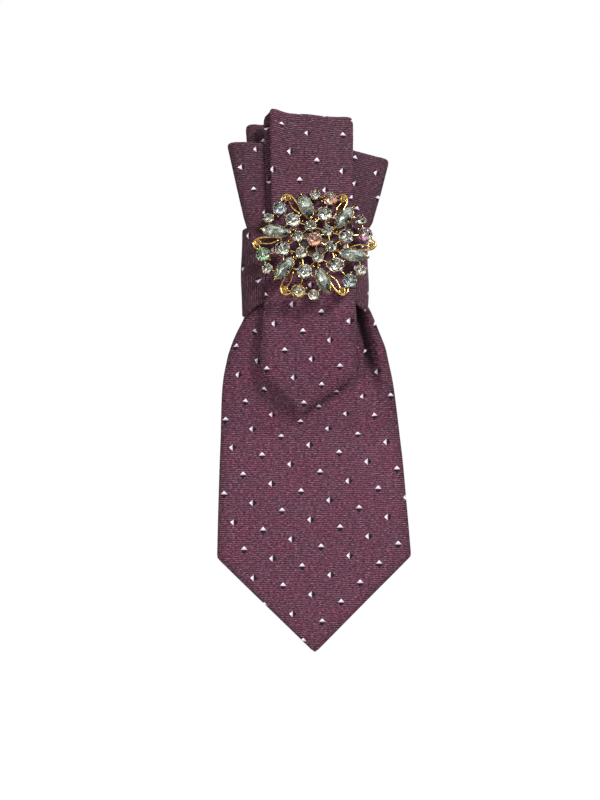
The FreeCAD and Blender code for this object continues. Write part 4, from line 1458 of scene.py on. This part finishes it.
def claw(radius, angle, matrix, height=0.34, reach=0.55, thick=0.3):
    """A prong: up beside the girdle, then bent over the crown with a rounded tip."""
    line = [
        polar(radius + 0.34, angle, -0.9), polar(radius + 0.34, angle, 0.05 * radius),
        polar(radius + 0.26, angle, height * radius * 0.6), polar(radius - 0.05, angle,
                                                                  height * radius + 0.12),
        polar(radius - reach, angle, height * radius + 0.3),
    ]
    smooth_line = [Vector(p) for p in curve([tuple(p) for p in line], 4)]
    count = len(smooth_line)
    radii = [thick * (1.0 - 0.25 * i / count) for i in range(count)]
    radii[-1] = thick * 0.45
    verts, faces = tube([matrix @ p for p in smooth_line], radii, 8)
    return verts, faces


def small_ball(centre, radius):
    """Cast grain: a low round knob."""
    verts, faces = [], []
    rings, sides = 5, 8
    for i in range(1, rings):
        a = pi * i / rings
        for k in range(sides):
            b = 2 * pi * (k + 0.5 * (i % 2)) / sides
            verts.append(centre + Vector((sin(a) * cos(b), sin(a) * sin(b), cos(a))) * radius)
    verts += [centre + Vector((0, 0, radius)), centre - Vector((0, 0, radius))]
    top, low = len(verts) - 2, len(verts) - 1
    for i in range(rings - 2):
        for k in range(sides):
            j = (k + 1) % sides
            faces.append((i * sides + k, i * sides + j, (i + 1) * sides + j, (i + 1) * sides + k))
    for k in range(sides):
        j = (k + 1) % sides
        faces.append((top, k, j))
        faces.append((low, (rings - 2) * sides + j, (rings - 2) * sides + k))
    return verts, faces


def lathe(profile, sides=24):
    """Closed ring turned from a closed outline of (radius, height)."""
    verts = [polar(r, 360 * k / sides, h) for r, h in profile for k in range(sides)]
    faces = []
    for i in range(len(profile)):
        m = (i + 1) % len(profile)
        for k in range(sides):
            j = (k + 1) % sides
            faces.append((i * sides + k, i * sides + j, m * sides + j, m * sides + k))
    return verts, faces


def moved(part, matrix):
    return [matrix @ Vector(v) for v in part[0]], part[1]


def round_cup(radius):
    """Tapered collet, which its stone overhangs a little."""
    r, bore = radius, 0.78 * radius
    return lathe([(r - 0.1, 0.0), (r - 0.06, -0.16), (r - 0.22, -0.3), (r - 0.5, -1.1),
                  (r - 0.62, -1.2),
                  (bore - 0.5, -1.2), (bore - 0.32, -0.9), (bore, -0.1)])


def pointed_cup():
    ring = almond_ring(20)
    levels = ((1.0, 0.0), (1.01, -0.18), (0.95, -0.35), (0.88, -1.1), (0.84, -1.2), (0.62, -1.2),
              (0.74, -0.1))
    verts = [Vector((x * scale, y * scale, height)) for scale, height in levels for x, y in ring]
    count, faces = len(ring), []
    for i in range(len(levels)):
        m = (i + 1) % len(levels)
        for k in range(count):
            j = (k + 1) % count
            faces.append((i * count + k, i * count + j, m * count + j, m * count + k))
    return verts, faces


def end_bead():
    profile = [(0.06, 0.5), (0.9, 0.5), (1.1, 0.62), (1.28, 0.66), (1.45, 0.55), (1.56, 0.2),
               (1.5, -0.3),
               (1.2, -0.75), (0.6, -1.0), (0.06, -1.02)]
    return lathe(profile, 16)


def wire(start, end, radius=0.4, bow=0.0):
    """Cast wire between two points, thinner in its middle."""
    middle = (start + end) / 2 + Vector((start.y - end.y, end.x - start.x, 0)).normalized() * bow
    line = [Vector(p) for p in curve([tuple(start), tuple(middle), tuple(end)], 4)]
    count = len(line) - 1
    return tube([STAND_UP @ p for p in line],
                [radius * (1 - 0.18 * sin(pi * i / count)) for i in range(count + 1)], 8)


def stone_places():
    places = {("centre", 0): (polar(0, 0, CENTRE[1]), 0.0, CENTRE[0])}
    for family, (pitch, first, radius, height) in ROUND_STONES.items():
        for k in range(6):
            angle = first + 60 * k
            places[family, k] = (polar(pitch, angle, height), angle, radius)
    return places


def frame_wires(places):
    """Wires that tie cup to cup under the stones, as they are cast."""
    drop = Vector((0, 0, -0.7))
    made = []

    def tie(a, b, a_in=0.6, b_in=0.6, bow=0.0):
        (start, _, start_r), (end, _, end_r) = a, b
        along = (end - start).normalized()
        made.append(wire(start + along * (start_r - a_in) + drop,
                         end - along * (end_r - b_in) + drop, bow=bow))

    for k in range(6):
        after = (k + 1) % 6
        inner, large = places["inner_round_stone", k], places["large_round_stone", k]
        aurora, outer = places["aurora_stone", k], places["outer_round_stone", k]
        next_large = places["large_round_stone", after]
        tie(places["centre", 0], inner)
        tie(inner, places["inner_round_stone", after])
        tie(inner, large)
        tie(inner, next_large)
        tie(large, aurora, bow=0.3)
        tie(aurora, outer)
        angle = MARQUISE[1] + 60 * k
        turn = Matrix.Translation(polar(MARQUISE[0], angle, MARQUISE[2])) @ Matrix.Rotation(
            radians(angle + 9.0), 4, "Z"
        )
        for neighbour, spot in ((inner, (-5.6, 0, 0)), (large, (-2.4, -2.2, 0)),
                                (next_large, (-2.4, 2.2, 0)),
                                (outer, (3.0, -2.0, 0))):
            tie((turn @ Vector(spot), 0, 0.0), neighbour, a_in=0.0)
        bead = (polar(BEAD[0], BEAD[1] + 60 * k, BEAD[3]), 0, 1.2)
        tie(bead, places["aurora_stone", after], a_in=0.3)
        start = polar(15.6, 54.0 + 60 * k, MARQUISE[2] - 0.8)
        made.append(wire(start, polar(BEAD[0] - 1.0, BEAD[1] + 60 * k, -0.2), 0.42, bow=0.9))
    return made


def marquise_prongs(seat):
    """Claws over both points and both sides of a pointed stone."""
    length, width = MARQUISE_HALF
    made = []
    for end in (-1, 1):
        tip = Vector((end * (length + 0.15), 0, 0))
        line = [tip + Vector((0, 0, -1.0)), tip + Vector((0.12 * end, 0, 0.3)),
                tip + Vector((-0.3 * end, 0, 0.7)),
                tip + Vector((-1.3 * end, 0, 0.9))]
        line = [seat @ Vector(p) for p in curve([tuple(p) for p in line], 4)]
        made.append(tube(line, [0.38] * (len(line) - 1) + [0.2], 8))
        side = Vector((0.5 * end, end * (width + 0.12), 0))
        line = [side + Vector((0, 0, -0.9)), side + Vector((0, 0.04 * end, 0.25)),
                side + Vector((0, -0.3 * end, 0.62)), side + Vector((0, -0.8 * end, 0.95))]
        line = [seat @ Vector(p) for p in curve([tuple(p) for p in line], 4)]
        made.append(tube(line, [0.26] * (len(line) - 1) + [0.14], 8))
    return made


STONE_LOOKS = {
    "inner_round_stone": ("crystal", "foil", "clear_glass", 0.0),
    "large_round_stone": ("crystal", "foil", "clear_glass", 0.05),
    "aurora_stone": ("aurora", "aurora_foil", "aurora_glass", 0.15),
    "outer_round_stone": ("crystal", "foil", "clear_glass", -0.05),
}


def make_ornament(mats):
    places = stone_places()
    casting = []
    for (family, k), (place, angle, radius) in places.items():
        seat = set_stone(angle, place)
        casting.append(moved(round_cup(radius), seat))
        casting += [claw(radius - 0.16, 45 + 90 * i, seat, thick=0.27) for i in range(4)]
    seat = set_stone(0, places["centre", 0][0])
    stone_piece("center_crystal", [brilliant(CENTRE[0], seat)], [mats["rose"], mats["rose_foil"]],
                "pink_gold_glass", ["center_stone"])
    for family, (glass, back, slot, larger) in STONE_LOOKS.items():
        own = [places[family, k] for k in range(6)]
        parts = [brilliant(radius + larger, set_stone(angle, place)) for place, angle, radius in own]
        nodes = [f"{family}_{k + 1}" for k in range(6)]
        stone_piece(family.replace("stone", "crystals"), parts, [mats[glass], mats[back]], slot, nodes)
    pitch, first, height = MARQUISE
    parts = []
    for k in range(6):
        seat = set_stone(first + 60 * k + 9.0, polar(pitch, first + 60 * k, height))
        parts.append(marquise(seat))
        casting.append(moved(pointed_cup(), seat))
        casting += marquise_prongs(seat)
    stone_piece("marquise_crystals", parts, [mats["smoky"], mats["pearl_foil"]], "smoky_clear_glass",
                [f"marquise_stone_{k + 1}" for k in range(6)])
    pitch, first, radius, height = BEAD
    parts = []
    for k in range(6):
        place = polar(pitch, first + 60 * k, height)
        casting.append(moved(end_bead(), set_stone(0, place)))
        parts.append(brilliant(1.05, set_stone(0, place + Vector((0, 0, 0.6)))))
    stone_piece("champagne_crystals", parts, [mats["champagne"], mats["champagne_foil"]],
                "champagne_glass",
                ["champagne_stones"])
    casting += grains() + scrolls() + frame_wires(places)
    verts, faces, _ = joined(casting)
    piece = mesh_piece("ornament_casting", verts, faces, [mats["gold"]])
    place_piece(piece, "gold_plated_casting", "ornament_frame")


def scrolls():
    """Curled wires: each runs out beside a pointed stone, round its end bead and in to a cup."""
    made = []
    for k in range(6):
        a = BEAD[1] + 60 * k
        route = [(14.0, -9, 1.3), (18.5, -7.5, 1.0), (22.3, -6.0, 0.7), (25.0, -3.6, 0.5),
                 (26.4, 0.3, 0.45),
                 (26.0, 4.2, 0.4), (24.6, 7.2, 0.3)]
        line = [tuple(STAND_UP @ polar(r, a + turn, up)) for r, turn, up in route]
        line = [Vector(p) for p in curve(line, 5)]
        count = len(line)
        made.append(tube(line, [0.34 + 0.16 * sin(pi * i / count) for i in range(count)], 8))
    return made


def grains():
    """Small cast knobs where the wires meet, and a beaded ring round each end bead."""
    made = []
    for k in range(6):
        a = 60 * k
        for pitch, angle, height, size in (
            (10.9, 27.0, 1.7, 0.6), (11.2, 57.0, 1.7, 0.55), (10.6, 42.0, 1.5, 0.55),
            (20.4, 20.5, 0.0, 0.55),
        ):
            made.append(small_ball(STAND_UP @ polar(pitch, angle + a, height), size))
        centre = polar(BEAD[0], BEAD[1] + a, BEAD[3] + 0.35 * BEAD[2])
        for i in range(10):
            spot = centre + polar(1.38, 36 * i, 0.02)
            made.append(small_ball(STAND_UP @ spot, 0.24))
    return made


# ---- light, floor and camera -------------------------------------------------------------------
def make_world():
    world = bpy.data.worlds.new("Studio")
    bpy.context.scene.world = world
    world.use_nodes = True
    nodes, links = world.node_tree.nodes, world.node_tree.links
    out = nodes["World Output"]
    seen, lit = nodes["Background"], nodes.new("ShaderNodeBackground")
    seen.inputs["Color"].default_value = (1, 1, 1, 1)
    seen.inputs["Strength"].default_value = 1.0
    way = nodes.new("ShaderNodeTexCoord").outputs["Generated"]
    cells = nodes.new("ShaderNodeTexVoronoi")
    cells.inputs["Scale"].default_value = 3.4
    links.new(way, cells.inputs["Vector"])
    shade = nodes.new("ShaderNodeValToRGB")
    shade.color_ramp.interpolation = "CONSTANT"
    shade.color_ramp.elements[0].color = (0.04, 0.04, 0.04, 1)
    shade.color_ramp.elements[1].position = 0.5
    shade.color_ramp.elements[1].color = (0.35, 0.345, 0.34, 1)
    bright = shade.color_ramp.elements.new(0.78)
    bright.color = (3.0, 3.0, 3.0, 1)
    parts = nodes.new("ShaderNodeSeparateXYZ")
    links.new(cells.outputs["Color"], parts.inputs[0])
    links.new(parts.outputs[0], shade.inputs[0])
    links.new(shade.outputs[0], lit.inputs["Color"])
    lit.inputs["Strength"].default_value = 0.55
    path = nodes.new("ShaderNodeLightPath")
    mix = nodes.new("ShaderNodeMixShader")
    links.new(path.outputs["Is Camera Ray"], mix.inputs[0])
    links.new(lit.outputs[0], mix.inputs[1])
    links.new(seen.outputs[0], mix.inputs[2])
    links.new(mix.outputs[0], out.inputs["Surface"])


def add_light(name, where, towards, size, power):
    data = bpy.data.lights.new(name, "AREA")
    data.shape = "RECTANGLE"
    data.size, data.size_y = size
    data.energy = power
    lamp = bpy.data.objects.new(name, data)
    lamp.location = where
    lamp.rotation_euler = (Vector(towards) - Vector(where)).to_track_quat("-Z", "Y").to_euler()
    bpy.context.scene.collection.objects.link(lamp)


def make_stage():
    make_world()
    add_light("Key", (0.33, -0.48, 0.36), (0, 0, -0.07), (0.14, 0.14), 5.9)
    add_light("Fill", (-0.50, -0.60, -0.05), (0, 0, -0.08), (0.4, 0.6), 0.8)
    add_light("Low", (0.05, -0.60, -0.40), (0, 0, -0.1), (0.5, 0.3), 0.65)
    add_light("Rear", (0.2, 0.6, 0.35), (0, 0, -0.05), (0.5, 0.5), 3.5)
    half, level = 0.17, -0.30
    bm = bmesh.new()
    bmesh.ops.create_grid(bm, x_segments=24, y_segments=24, size=half)
    mesh = bpy.data.meshes.new("Floor")
    bm.to_mesh(mesh)
    bm.free()
    mesh.materials.append(pale_floor("Pale floor"))
    floor = bpy.data.objects.new("Floor", mesh)
    floor.location = (0, -0.08, level)
    bpy.context.scene.collection.objects.link(floor)


def make_camera():
    data = bpy.data.cameras.new("Camera")
    data.sensor_fit = "VERTICAL"
    data.sensor_height = 36.0
    data.lens = 36.7
    data.clip_start = 0.01
    camera = bpy.data.objects.new("Camera", data)
    camera.location = (-0.0062, -0.380, -0.0621)
    camera.rotation_euler = (radians(90), 0, 0)
    bpy.context.scene.collection.objects.link(camera)
    bpy.context.scene.camera = camera


def paint(node, mat):
    mesh = NODES[node].data
    mesh.materials.clear()
    mesh.materials.append(mat)


def carry_over(mats):
    """Finishes of the CAD parts that stay as they are."""
    for node, mat, slot in (
        ("ornament_glue_pad", mats["glue"], "glue"),
        ("bar_pin_base", mats["nickel"], "nickel_plated_steel"),
        ("hinge_rivet", mats["nickel"], "nickel_plated_steel"),
        ("catch_body", mats["nickel"], "nickel_plated_steel"),
        ("catch_sleeve", mats["nickel"], "nickel_plated_steel"),
        ("pin_stem", mats["spring"], "spring_steel"),
    ):
        paint(node, mat)


def make_materials():
    return {
        # One silk in three copies: the loop and band copies are darker and greyer, as painted shade and
        # sheen.
        "silk": silk("Tie silk", 0.8),
        "loop_silk_shaded": silk("Loop silk", 0.5, 0.2),
        "band_silk_shaded": silk("Band silk", 0.64, 0.55),
        "satin": satin("Lining satin"),
        "wool": wool("Interlining wool"),
        "felt": felt("Felt"),
        "thread": thread("Sewing thread"),
        "glue": glue("Set glue"),
        "gold": gold("Gold plating"),
        "nickel": steel("Nickel plating", linear(205, 203, 196), 0.16, 0.3),
        "spring": steel("Spring steel", linear(188, 190, 194), 0.1, 0.22, (0.6, 12.0, 12.0)),
        "crystal": crystal("Clear crystal"),
        "foil": foil("Silver foil", linear(250, 250, 240), linear(52, 58, 48)),
        "smoky": crystal("Smoky crystal", (0.86, 0.9, 0.86)),
        "pearl_foil": pearl_foil("Grey foil"),
        "aurora": crystal("Aurora crystal"),
        "aurora_foil": aurora_foil("Aurora foil"),
        "rose": crystal("Rose crystal", (1.0, 0.93, 0.9)),
        "rose_foil": foil("Rose foil", linear(255, 222, 208), linear(196, 140, 104)),
        "champagne": crystal("Champagne crystal", (1.0, 0.94, 0.76)),
        "champagne_foil": foil("Champagne foil", linear(245, 225, 150), linear(96, 78, 30)),
    }


def main():
    mats = make_materials()
    make_camera()
    make_stage()
    make_loops(mats["loop_silk_shaded"], mats["wool"])
    make_wide_blade(mats)
    make_narrow_blade(mats)
    make_band(mats)
    make_felt(mats["felt"])
    make_pin_threads(mats["thread"])
    make_band_threads(mats["thread"])
    make_ornament(mats)
    carry_over(mats)
    bpy.context.scene.view_settings.view_transform = "Standard"


main()
